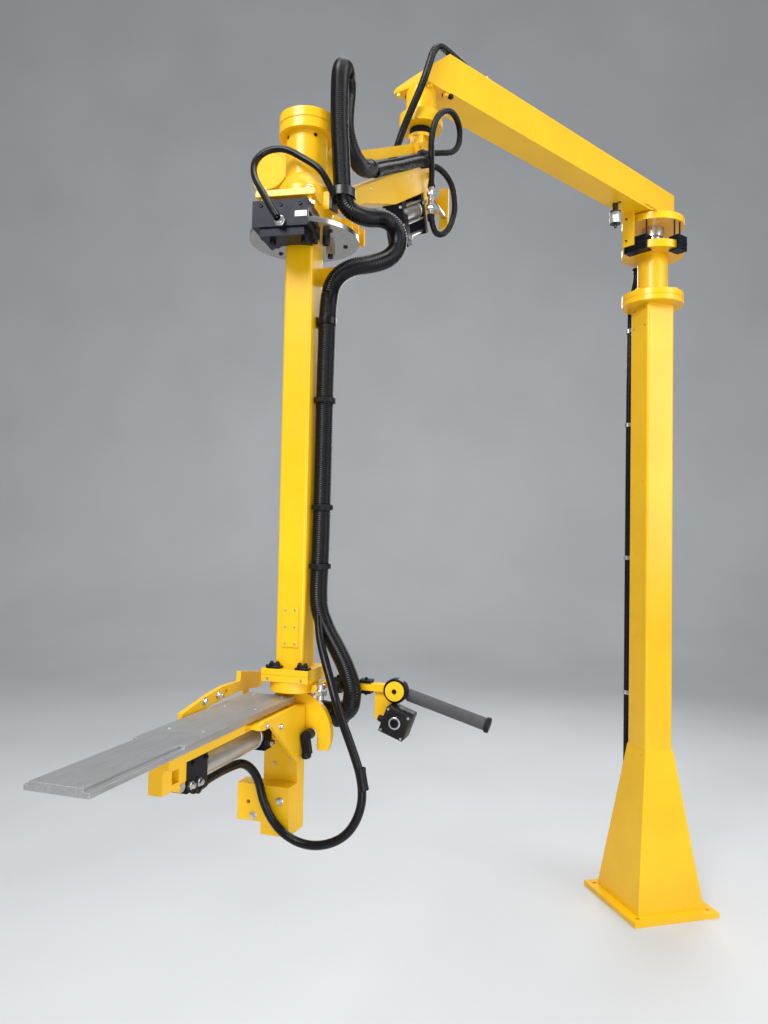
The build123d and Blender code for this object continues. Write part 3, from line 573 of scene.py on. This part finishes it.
# name: pitch, depth, ring sides, body or blend, free cord
KIND = {
    "column_hose": (0, 0, 14, "column", False),
    "knuckle_hose": (3.4, 0.9, 16, "knuckle", True),
    "knuckle_loop": (3.4, 0.9, 16, "knuckle", True),
    "elbow_hose": (3.8, 1.0, 16, ("primary_arm", "knuckle", (F2, 60, 0, 3560), (F2, 60, 0, 3190)), True),
    "arm_hose_upper": (3.2, 0.8, 14, ("knuckle", "upper_rod", (F2, 118, 40, 3100), (F2, 250, 40, 3030)), False),
    "arm_hose_lower": (4.4, 1.0, 20, ("knuckle", "upper_rod", (F2, 118, 40, 3100), (F2, 250, 40, 3030)), False),
    "arm_hose_far": (3.2, 0.8, 14, ("knuckle", "upper_rod", (F2, 132, -40, 3100), (F2, 250, -40, 3030)), False),
    "caliper_hose": (0, 0, 14, "head", True),
    "loop_hose": (5.4, 1.5, 22, ("lower_arm", "head", (F2, 640, 76, 2830), (F2, 850, 76, 2830)), True),
    "sweep_hose": (5.4, 1.5, 22, ("head", "drop_tube", (FT, 0, 0, 2610), (FT, 0, 0, 2400)), True),
    "tube_hose": (5.4, 1.5, 22, "drop_tube", False),
    "tool_hose": (0, 0, 14, ("drop_tube", "tool", (FT, 114, 220, 1180), (FT, 114, 60, 1120)), True),
}
for name, (frm, d, pts) in ROUTES.items():
    pitch, depth, seg, how, free = KIND[name]
    m, path, length, w = hose(name, frm, pts, d, pitch, depth, seg)
    ob = piece(name + "_line", m, CONDUIT if pitch else RUB, how if isinstance(how, str) else None, (name,), 50.0)
    if not isinstance(how, str):
        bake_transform(ob)
    print("hose", name, "%.3f m" % length)

# ------------------------------------------------------------ details
# threaded fitting beside the knuckle, with its two nuts and the tab that holds it
m = Mesh()
b = place(F2, 62, 68, 2925)
prof = [(0, 0), (8.5, 0)]
z = 2.0
while z < 100:
    prof += [(10.9, z + 0.6), (10.9, z + 0.9), (9.7, z + 1.4), (9.7, z + 1.7)]
    z += 2.0
prof += [(10.4, 102), (10.4, 105), (0, 105)]
m.lathe(b, prof, 20, 0)
for z0, h in ((71, 16), (21, 12)):
    m.lathe(b, [(10, z0), (13.6, z0, "o"), (14.6, z0 + 1.6, "h"), (14.6, z0 + h - 1.6, "h"), (13.6, z0 + h, "o"), (10, z0 + h)], 24, 0)
m.lathe(b, [(10, z0 + 13), (17.5, z0 + 13), (17.5, z0 + 15), (10, z0 + 15)], 24, 0)

g = F2 @ Matrix.Scale(0.001, 4)
m.block(g, -93, 62, 60, 76, 2975, 2988, 1.5, 0)
m.socket(F2, -84, 68, 2988, (0, 0, 1), 9, 5)
piece("threaded_fitting", m, ZINC, "knuckle", ("knuckle_fitting",))

# pivot pins' ends: knuckle pins, and the two pins of the head
def pin_ends(name, body, pts, r, y0, own=None):
    m = Mesh()
    for (x, z) in pts:
        for s in (-1, 1):
            b = place(F2, x, s * y0, z, (0, s, 0))
            m.lathe(b, [(0, 0), (r, 0), (r, 2.6), (r * 0.93, 3.2), (r * 0.62, 3.2), (r * 0.58, 2.8), (r * 0.3, 2.8), (r * 0.28, 2.2, "h"), (0, 2.0)], 24)
        if own:
            m.lathe(place(F2, x, -y0, z, (0, 1, 0)), [(9.6, 0), (9.6, 2 * y0)], 20)
    piece(name, m, ZINC, body)
pin_ends("knuckle_pin_ends", "knuckle", [(0, 3105)], 15.0, 41.5)
pin_ends("knuckle_pin_ends_upper", "knuckle", [(0, 3215)], 15.0, 39.5)
pin_ends("head_pin_lower", "head", [(735, 2703)], 16.0, 35.6, True)
pin_ends("head_pin_upper", "head", [(735, 2813)], 21.0, 35.6, True)

# screws and bolts, one mesh a body
m = Mesh()
for k in range(6):
    a = math.radians(30 + 60 * k)
    m.socket(F1, 135 * math.cos(a), 135 * math.sin(a), 3423, (0, 0, 1), 16, 9)
for s in (-1, 1):
    m.socket(F1, 172, s * 44, 3268, (1, 0, 0), 12, 6)
    m.socket(F1, 172, s * 22, 3252, (1, 0, 0), 8, 4)
c, s_ = math.cos(math.radians(84)), math.sin(math.radians(84))
for o in (-24, 24):
    m.socket(F1, 172 * c - o * s_, 172 * s_ + o * c, 3268, (c, s_, 0), 12, 6)
m.socket(F1, 184, -40, 3290, (1, 0, 0), 9, 5)
m.socket(F1, 184, -40, 3400, (1, 0, 0), 9, 5)
for (x, y) in ((1598, -50), (1598, 50), (1690, -50), (1672, 44)):
    m.socket(F1, x, y, 3419, (0, 0, -1), 13, 7)
piece("arm_screws", m, SCREW, "primary_arm")

m = Mesh()
for k in range(4):
    a = math.radians(45 + 90 * k)
    m.lathe(place(F0, -76.2, 46 * math.copysign(1, math.cos(a)), 2921 + 46 * math.copysign(1, math.sin(a)), (-1, 0, 0)), [(4.4, -1.5), (4.6, 0.3), (6.2, 0.3), (6.6, 0.0)], 20)
for (x, y, z, dx, dy) in ((-18, 167, 0, 0, 1),):
    for zz in (320, 1000, 1700, 2400, 2900):
        m.socket(F0, -28, 184.8, zz, (0, 1, 0), 8, 4)
piece("column_screws", m, ZINC, "column")

m = Mesh()
b = place(F0, -28, 167, 286)
m.lathe(b, [(0, 0), (12, 0), (15.5, 1.5), (15.5, 9), (14.6, 10), (14.6, 24), (16.2, 25), (16.2, 31), (13.2, 33)], 24)
b = place(F0, -18, 116, 3214)
m.lathe(b, [(13.2, -24), (16.2, -22), (16.2, -16), (14.8, -15), (14.8, -2), (17.5, -1, "h"), (17.5, 9, "h"), (12, 11), (0, 11)], 24)
piece("column_hose_ends", m, BLK_P, "column")

# knuckle side: black right-angle fittings where the two riding hoses meet
def ferrule(m, frm, p, q, r, l0, l1, mat=0):
    """Collared sleeve round a hose end at p, facing q."""
    a, c = Vector(p), Vector(q)
    ax = (c - a).normalized()
    b = place(frm, p[0], p[1], p[2], tuple(ax))
    m.lathe(b, [(r * 0.98, -l0), (r * 1.14, -l0 + 1), (r * 1.14, -l0 + 5), (r * 1.06, -l0 + 6), (r * 1.06, -4), (r * 1.24, -3.4, "h"), (r * 1.24, 3.4, "h"), (r * 1.06, 4), (r * 1.06, l1 - 6), (r * 1.14, l1 - 5), (r * 1.14, l1 - 1), (r * 0.98, l1)], 24, mat)
m = Mesh()
q = rod_pt(170, V0, 38)
ferrule(m, F2, (112, 46, 3128), q, 11.2, 16, 12)
q = rod_pt(190, V0 - 16, 59)
ferrule(m, F2, (112, 57, 3098), q, 16.6, 10, 12)
ferrule(m, F2, (128, -59, 3112), rod_pt(200, V0, -46), 13.2, 16, 10)
m.lathe(place(F2, 62, 68, 3030), [(10.6, -3), (14, -2), (14, 5), (12.4, 6), (12.4, 18), (11.6, 20), (10.6, 20)], 24)
m.lathe(place(F2, 62, 68, 2925, (0, 0, -1)), [(10.6, -4), (14, -3), (14, 5), (12.4, 6), (12.4, 16), (11.4, 18), (10.6, 18)], 24)
piece("knuckle_ferrules", m, BLK_P, "knuckle")

# beam: hose clips on top and small clips on the near side
m = Mesh()
g1 = F1 @ Matrix.Scale(0.001, 4)
for x, y in ((1350, 24.5), (1480, 31)):
    m.block(g1, x - 8, x + 8, y - 19, y + 19, 3576, 3580, 1.0)
    b = place(F1, x - 7, y, 3593, (1, 0, 0))
    m.lathe(b, [(13.1, 0), (15.4, 0), (15.4, 14), (13.1, 14)], 24)
for x in (1180, 1010):
    m.block(g1, x - 9, x + 9, 18, 34, 3575.8, 3583, 1.6)
m.block(g1, 1554, 1572, 44, 60, 3419, 3431.2, 1.6)
m.socket(F1, 1563, 52, 3419, (0, 0, -1), 8, 3)
piece("beam_clips", m, BLK_P, "primary_arm")
m = Mesh()
b = place(F1, 1326, 24, 3593, (1, 0, 0))
m.lathe(b, [(0, -4), (9, -4), (9, 2), (15.5, 2, "h"), (15.5, 12, "h"), (14, 14), (14, 24), (13.1, 26)], 24)
m.lathe(place(F1, 1322, 24, 3576), [(0, 0), (13, 0, "h"), (13, 8, "h"), (10.5, 10), (10.5, 24), (8, 27), (0, 27)], 24)
piece("beam_hose_fitting", m, ZINC, "primary_arm")

# lower arm: screws along the side plates
m = Mesh()
for sy in (-1, 1):
    for (x, z) in ((180, 3020), (520, 2825)):
        m.round_head(F2, x, sy * 35, z, (0, sy, 0), 11, 3)
piece("lower_arm_screws", m, ZINC, "lower_arm")

# air cylinder under the arm: cap screws, gland and the fittings on its end blocks
def cyl_pt(u, v):
    a = math.atan2(402.0, 735.0)
    return 56.0 + u * math.cos(a) + v * math.sin(a), 2958.0 - u * math.sin(a) + v * math.cos(a)
m = Mesh()
a = math.atan2(402.0, 735.0)
ux = (math.cos(a), 0, -math.sin(a))
for v in (-29, 29):
    for y in (-29, 29):
        x, z = cyl_pt(212, v)
        m.socket(F2, x, y, z, ux, 10, 5)
        x, z = cyl_pt(-24, v)
        m.socket(F2, x, y, z, (-ux[0], 0, -ux[2]), 10, 5)
for u, v in ((192, -72), (192, 12), (-12, 20)):
    x, z = cyl_pt(u, v)
    m.lathe(place(F2, x, 35, z, (0, 1, 0)), [(0, 0), (8.5, 0, "h"), (8.5, 5, "h"), (6.4, 6), (6.4, 11), (4, 12), (0, 12)], 24)
x, z = cyl_pt(-24, 0)
m.lathe(place(F2, x, 0, z, (-ux[0], 0, -ux[2])), [(0, 0), (15, 0), (15, 3), (13.5, 4), (0, 4)], 28)
for u in (6, 166):
    x, z = cyl_pt(u, 0)
    m.lathe(place(F2, x, 0, z, ux), [(32, -4), (33.4, -3.4), (33.4, 3.4), (32, 4)], 40)
piece("arm_cylinder_screws", m, ZINC, "lower_arm")

# bundle sleeve where the riding hoses go into the conduit
m = Mesh()
ax = Vector((52, 4, -24)).normalized()
b = place(F2, 612 - ax.x * 22, 76 - ax.y * 22 - 3, 2836 - ax.z * 22 + 3, tuple(ax))
m.lathe(b, [(12, 0), (19, 0.5), (22, 3), (23.6, 10), (24.2, 20), (24.2, 26), (26.0, 27), (26.0, 33), (24.2, 34), (24.2, 46), (23.2, 48)], 28)
piece("bundle_sleeve", m, RUB, "lower_arm")

# head: set screws under the cap, plate bolts' washers, calliper screws, blank plate, clamp screws
m = Mesh()
for y in (-29, 42):
    x = math.sqrt(54 ** 2 - y * y)
    m.socket(F2, 855 + x - 1.5, y, 2804, (x, y, 0), 9, 2.4)
for k in range(3):
    a = math.radians(150 + 120 * k)
    m.socket(F2, 855 + 46 * math.cos(a), 46 * math.sin(a), 2866, (0, 0, 1), 12, 5)
for y in (-62, -12, 36):
    m.socket(FH, 160, y, 2573, (1, 0, 0), 9, 3.4)
for y in (-40, 40):
    m.socket(FH, 130, y, 2487, (0, 0, -1), 14, 2.5)
    m.hexbolt(FH, 141, y, 2585, (0, 0, 1), 13, 7)
piece("head_screws", m, SCREW, "head")
m = Mesh()
for y in (-76, 44):
    m.lathe(place(FH, 110, y, 2627), [(10.5, 0), (15.5, 0), (15.5, 2.2), (14.8, 2.6), (10, 2.6)], 24)
    m.hexbolt(FH, 110, y, 2636, (0, 0, 1), 17, 2.2, False)
    m.lathe(place(FH, 110, y, 2590), [(7.1, 0), (12.5, 0, "h"), (12.5, 9, "h"), (7.1, 9.5)], 24)
b = place(FH, 160, -12, 2531, (1, 0, 0))
m.lathe(b, [(9, 0), (12.5, 0.4, "h"), (12.5, 7, "h"), (10.6, 8), (10.6, 15), (9.2, 16), (9.2, 22), (8.6, 23)], 24)
m.round_head(F2, 893, 60, 2637, (0.6, 0.8, 0), 9, 3)
piece("head_bright_parts", m, ZINC, "head")
m = Mesh()
gh = FH @ Matrix.Scale(0.001, 4)
m.block(gh, 159.8, 161.2, 24, 54, 2541, 2555, 0.5)
m.block(gh, 161.0, 161.5, 27, 51, 2543.5, 2552.5, 0.2)
piece("caliper_blank_plate", m, LABEL, "head")

# side boss: lip round its face
m = Mesh()
b = place(F2, 855, -108, 2754, (1, 0, 0))
m.lathe(b, [(44, -0.6), (52.4, -0.6), (52.9, 0.6), (52.0, 1.8), (46.0, 1.8), (44.6, 0.8)], 48)
piece("side_boss_lip", m, YEL[0], "head")

# disc: retaining screws, dark clamps on the flange, tube cover screws
m = Mesh()
for sx in (-1, 1):
    for sy in (-1, 1):
        m.socket(FT, sx * 52, sy * 52, 2523, (0, 0, -1), 15, 9)
for k in range(6):
    a = math.radians(60 * k)
    m.socket(FT, 108 * math.cos(a), 108 * math.sin(a), 2541, (0, 0, -1), 12, 3)
m.socket(FT, 28, 72, 2541, (0, 0, -1), 20, 24)
gt = FT @ Matrix.Scale(0.001, 4)
for y0, y1 in ((-50, -14), (26, 62)):
    m.block(gt, 40, 62, y0, y1, 1444.2, 1450, 1.4)
    m.block(gt, 45, 60, y0 + 5, y1 - 5, 1449, 1457, 2.0)
    m.socket(FT, 52, y0 + 10, 1457, (0, 0, 1), 9, 4)
    m.socket(FT, 52, y1 - 10, 1457, (0, 0, 1), 9, 4)
for x in (-50, 50):
    for y in (-52,):
        m.socket(FT, x, y, 1444, (0, 0, 1), 11, 7)
piece("tube_dark_screws", m, SCREW, "drop_tube")
m = Mesh()
for z in (1505, 1547, 1589):
    for y in (-10, 16):
        m.round_head(FT, 42.1, y, z, (1, 0, 0), 6.5, 2)
m.lathe(place(FT, 30, 84, 1385, (0, 0, 1)), [(0, -14), (9, -14), (9, -4), (14.5, -3, "h"), (14.5, 9, "h"), (11, 10), (11, 22), (8.5, 24), (0, 24)], 24)
for y in (-45, 45):
    m.socket(FT, 63.5, y, 1420, (1, 0, 0), 7, 3)
piece("tube_bright_parts", m, ZINC, "drop_tube")
m = Mesh()
m.lathe(place(FT, -8, 65.5, 2330, (0, 0.01, -1)), [(22.2, -9), (23.4, -8.4), (23.5, -6), (23.5, 6), (23.4, 8.4), (22.2, 9)], 28)
m.block(gt, -18, 2, 37.6, 46, 2318, 2342, 1.0)
m.lathe(place(FT, 112, 226, 1215, (6, 16, -70)), [(10.2, -26), (12.6, -25), (12.6, -18), (11.8, -17), (11.8, 17), (12.6, 18), (12.6, 25), (10.2, 26)], 20)
piece("hose_joints", m, RUB, "drop_tube")

# conduit's lower end: screwed ring and lock nut in the socket
m = Mesh()
b = place(FT, -46, 112, 1322, (0.35, 0.94, 0.0))
m.lathe(b, [(22, -30), (29.5, -29, "o"), (29.5, -22, "o"), (27.5, -21), (27.5, -10), (30.5, -9, "h"), (30.5, 2, "h"), (26, 4), (26, 12), (23.2, 14)], 30)
m.socket(FT, -40, 48, 1348, (0, 0, 1), 9, 4)
piece("conduit_gland", m, BLK, "drop_tube")

# ring round the yellow boss of the handle, knob, and the clamp screws
m = Mesh()
b = place(FT, -50, 262, 1396, (1, 0, 0))
m.lathe(b, [(24.2, 6), (29, 6), (30.5, 8), (30.5, 29), (29, 31), (24.2, 31)], 36)
for s in (-1, 1):
    m.socket(FT, -51, 176, 1397 + s * 17, (0, 0, s), 8, 5)
m.socket(FT, -22, 111, 1420, (0, 0, 1), 9, 5)
m.lathe(place(FT, -14, 262, 1396, (1, 0, 0)), [(0, 0), (6, 0), (6, 2), (3.5, 3), (3.2, 2.2, "h"), (0, 2.2)], 20)
piece("handle_dark_parts", m, BLK, "drop_tube")

# control box: lid with a seam, cable gland and its push button
m = Mesh()
rot = Matrix.Translation((-17, 272, 1324)) @ Matrix.Rotation(math.radians(-20), 4, "X")
cb = gt @ rot
m.block(cb, -31, 22, -33, 33, -33, 33, 3.5)
m.block(cb, 23, 31, -33, 33, -33, 33, 2.8)
m.block(cb, 21.5, 23.5, -31, 31, -31, 31, 0)
for y in (-27, 27):
    for z in (-27, 27):
        b = cb @ Matrix.Translation((31, y, z)) @ Matrix.Rotation(math.radians(90), 4, "Y")
        m.lathe(b, [(0, 0), (3.4, 0), (3.2, 0.9), (1.5, 1.0), (1.4, 0.5), (0, 0.5)], 16, 1)
b = cb @ Matrix.Translation((31, 0, 2)) @ Matrix.Rotation(math.radians(90), 4, "Y")
m.lathe(b, [(15, 0), (15, 3), (13.6, 4), (11, 4), (10.6, 3)], 28, 1)
m.lathe(b, [(0, 3), (10.4, 3), (10.4, 6), (9.4, 7), (0, 7.4)], 28, 2)
b = cb @ Matrix.Translation((-4, -33, -14)) @ Matrix.Rotation(math.radians(90), 4, "X")
m.lathe(b, [(10, 0, "h"), (10, 6, "h"), (8.4, 7), (8, 16), (5, 18), (0, 18)], 24, 0)
piece("control_box_case", m, [BLK_P, ZINC, BLK], "drop_tube", ("control_box",))

# foam grip on its rod, with end caps
m = Mesh()
b = gt @ Matrix.Translation((-50, 262, 1392)) @ Matrix.Rotation(math.radians(-106), 4, "X")
m.lathe(b, [(0, 14), (9.6, 14), (10, 14.5), (10, 27)], 24, 1)
pf = [(11, 25), (13.5, 25.6), (15.2, 27.5), (15.9, 31)]
for k in range(1, 20):
    pf.append((15.9 + 0.12 * math.sin(k * 1.7) - 0.25 * math.sin(math.pi * k / 20.0), 31 + (225 - 31) * k / 20.0))
pf += [(15.9, 225), (15.4, 229), (14, 230.6), (11, 231)]
m.lathe(b, pf, 32, 0)
m.lathe(b, [(11, 229.5), (17.6, 230), (19, 231.5), (19, 239), (17.8, 241.4), (15, 242), (0, 242)], 32, 2)
piece("foam_grip", m, [FOAM, ZINC, BLK_P], "drop_tube", ("handle_grip",))

# tool: screws, cylinder screws and fittings, clevis pin, lever knob
m = Mesh()
for (y, z) in ((-24, 1286), (19, 1227), (-24, 1210), (-24, 1330)):
    m.round_head(FT, 52, y, z, (1, 0, 0), 9.5, 3)
for (x, y) in ((193, -12), (47, -12), (47, -92), (193, -92), (420, -12), (420, -92)):
    m.round_head(FT, x, y, 1373, (0, 0, 1), 10, 1.2)
m.hexbolt(FT, 155, 36, 1328, (0, 1, 0), 10, 5)
m.hexbolt(FT, 228, 36, 1346, (0, 1, 0), 8, 4)
m.hexbolt(FT, 98, 12, 1134, (1, 0, 0), 13, 6)
m.hexbolt(FT, 98, -58, 1092, (1, 0, 0), 13, 6)
m.hexbolt(FT, 228, -124, 1388, (0, 1, 0), 13, 6)
m.lathe(place(FT, 167, -124, 1391, (0, 1, 0)), [(0, 0), (8.5, 0, "h"), (8.5, 6, "h"), (6, 7), (6, 15), (4, 16), (0, 16)], 24)
m.hexbolt(FT, 20, -136, 1342, (0, -1, 0), 10, 5)
m.lathe(place(FT, 490, -46, 1282, (0, 1, 0)), [(0, -1), (8, -1), (8, 2), (4.9, 2), (4.9, 32), (8, 32), (8, 35), (0, 35)], 24)
for x in (110, 463, 433):
    m.lathe(place(FT, x, -12, 1279 if x > 440 else 1277, (0, 1, 0)), [(0, 0), (8, 0, "h"), (8, 5, "h"), (6, 6), (6, 11), (3.5, 12), (0, 12)], 24)
piece("tool_bright_parts", m, ZINC, "tool")
m = Mesh()
for x, sx in ((474, 1), (101, -1)):
    for sy in (-1, 1):
        for sz in (-1, 1):
            m.socket(FT, x, -46 + sy * 26, 1297 + sz * 26, (sx, 0, 0), 10, 5)
for x in (405, 452):
    m.socket(FT, x, -12, 1319, (0, 1, 0), 9, 4)
    m.socket(FT, x + 6, -12, 1268, (0, 1, 0), 6, 3)
m.lathe(place(FT, 474, -46, 1297, (1, 0, 0)), [(0, -1), (14, -1), (14, 3), (12.6, 4), (9, 4)], 28)
b = place(FT, 350, -60, 1240, (1, 0, -0.05))
m.lathe(b, [(10.6, -18), (12.6, -17), (12.6, -3), (11, -2), (11, 4), (13.5, 5, "h"), (13.5, 13, "h"), (11, 14), (11, 24), (0, 26)], 24)
m.lathe(place(FT, 366, -60, 1236), [(0, 0), (10.6, 0.5), (10.6, 18), (12.5, 19, "h"), (12.5, 26, "h"), (8, 27), (8, 34)], 24)
b = place(FT, 30, 49, 1236, (0.0, 0.17, -0.98))
m.lathe(b, [(0, -2), (9, -2), (11.5, 1), (12.6, 6), (11.5, 11), (8, 14), (0, 15)], 24)
piece("tool_dark_parts", m, SCREW, "tool")
m = Mesh()
for (x, y) in ((390, -46), (145, -46)):
    m.lathe(place(FT, x, y, 1296, (1, 0, 0)), [(31.0, -4), (32.2, -3.6), (32.2, 3.6), (31.0, 4)], 40)
piece("cylinder_rings", m, ZINC, "tool")

# ------------------------------------------------------------ materials on the CAD pieces
GROUP = {
    "column_spindle": TURN_COL, "hub_bearing": TURN_COL, "tube_spindle": TURN_HEAD, "brake_disc": TURN_HEAD,
    "tool_cylinder": ALU, "arm_cylinder": ALU_ARM, "arm_cylinder_ends": BLK, "hose_clips": STEEL, "fork_plate": MILL, "filter_bowl": BOWL,
    "hub_brake_front": BLK, "hub_brake_side": BLK, "brake_caliper": BLK, "cylinder_caps": BLK,
    "elbow_ring": BLK_P, "head_bracket": BRK, "hose_socket": BLK_P, "hose_ties": BLK_P, "handle_clamp": BLK_P, "lock_lever": BLK_P,
    "knuckle_fitting": ZINC, "control_box": BLK_P, "handle_grip": FOAM,
}
def cad_objects(v):
    if isinstance(v, bpy.types.Object):
        return [v]
    if isinstance(v, str):
        return [bpy.data.objects[v]] if v in bpy.data.objects else []
    if isinstance(v, dict):
        return [o for x in v.values() for o in cad_objects(x)]
    if isinstance(v, (list, tuple)):
        return [o for x in v for o in cad_objects(x)]
    return []
for i, (node, o) in enumerate(sorted(frame["nodes"].items())):
    mat_ = GROUP.get(node) or (RUB if node in ROUTES else YEL[i % len(YEL)])
    for q in cad_objects(o):
        if q.type != "MESH":
            continue
        if not q.material_slots:
            q.data.materials.append(mat_)
        for s in q.material_slots:
            s.material = mat_

# ------------------------------------------------------------ floor and light
def stage_plane():
    bm = bmesh.new()
    n, span = 40, 56.0
    rows = []
    prof = [(-9.0, 0.0), (-3.0, 0.0), (3.0, 0.0), (7.0, 0.0), (8.2, 0.12), (9.2, 0.5), (9.9, 1.2), (10.3, 2.2), (10.4, 4.0), (10.4, 9.0), (10.4, 22.0)]
    f = Vector((math.sin(math.radians(15)), math.cos(math.radians(15)), 0))
    r = Vector((f.y, -f.x, 0))
    for (d, z) in prof:
        rows.append([bm.verts.new(Vector((-1.4, -1.4, z)) + f * d + r * (span * (i / n - 0.5))) for i in range(n + 1)])
    for a, b in zip(rows, rows[1:]):
        for i in range(n):
            bm.faces.new((a[i], a[i + 1], b[i + 1], b[i]))
    me = bpy.data.meshes.new("studio_floor")
    bm.to_mesh(me)
    bm.free()
    me.shade_smooth()
    m = Mat("studio_pale")
    a = m.noise(0.6, 3.0, 0.5)
    fine = m.noise(60.0, 3.0, 0.6, seed=3)
    m.out(color=m.mix(m.span(a, 0.3, 0.7, 0.0, 1.0), col(0.52, 0.53, 0.54), col(0.58, 0.59, 0.60)), rough=m.span(fine, 0.3, 0.7, 0.55, 0.7), normal=m.bump(fine, 0.0002, 0.4))
    me.materials.append(m.m)
    ob = bpy.data.objects.new("studio_floor", me)
    bpy.context.scene.collection.objects.link(ob)
stage_plane()

def area(name, loc, aim, size, power, color=(1, 1, 1)):
    li = bpy.data.lights.new(name, "AREA")
    li.shape = "DISK"
    li.size = size
    li.energy = power
    li.color = color
    ob = bpy.data.objects.new(name, li)
    bpy.context.scene.collection.objects.link(ob)
    ob.location = loc
    ob.rotation_euler = (Vector(aim) - Vector(loc)).to_track_quat("-Z", "Y").to_euler()
area("key", (-5.2, -4.6, 5.6), (-1.4, -1.2, 2.2), 3.0, 330, (1.0, 0.99, 0.97))
area("fill", (2.6, -4.4, 3.4), (-1.2, -0.8, 1.8), 4.0, 150, (0.96, 0.98, 1.0))
area("top", (-0.9, -0.9, 7.2), (-1.0, -0.8, 0.0), 5.0, 260)
area("low", (-2.2, -5.4, 1.0), (-1.3, -1.0, 2.4), 3.0, 70)
area("rim", (1.5, 3.2, 4.6), (-1.2, -0.8, 2.4), 3.0, 120)
w = bpy.data.worlds.new("studio_world")
w.use_nodes = True
w.node_tree.nodes["Background"].inputs[0].default_value = (0.86, 0.89, 0.93, 1.0)
w.node_tree.nodes["Background"].inputs[1].default_value = 0.42
bpy.context.scene.world = w
bpy.context.scene.view_settings.view_transform = "Standard"
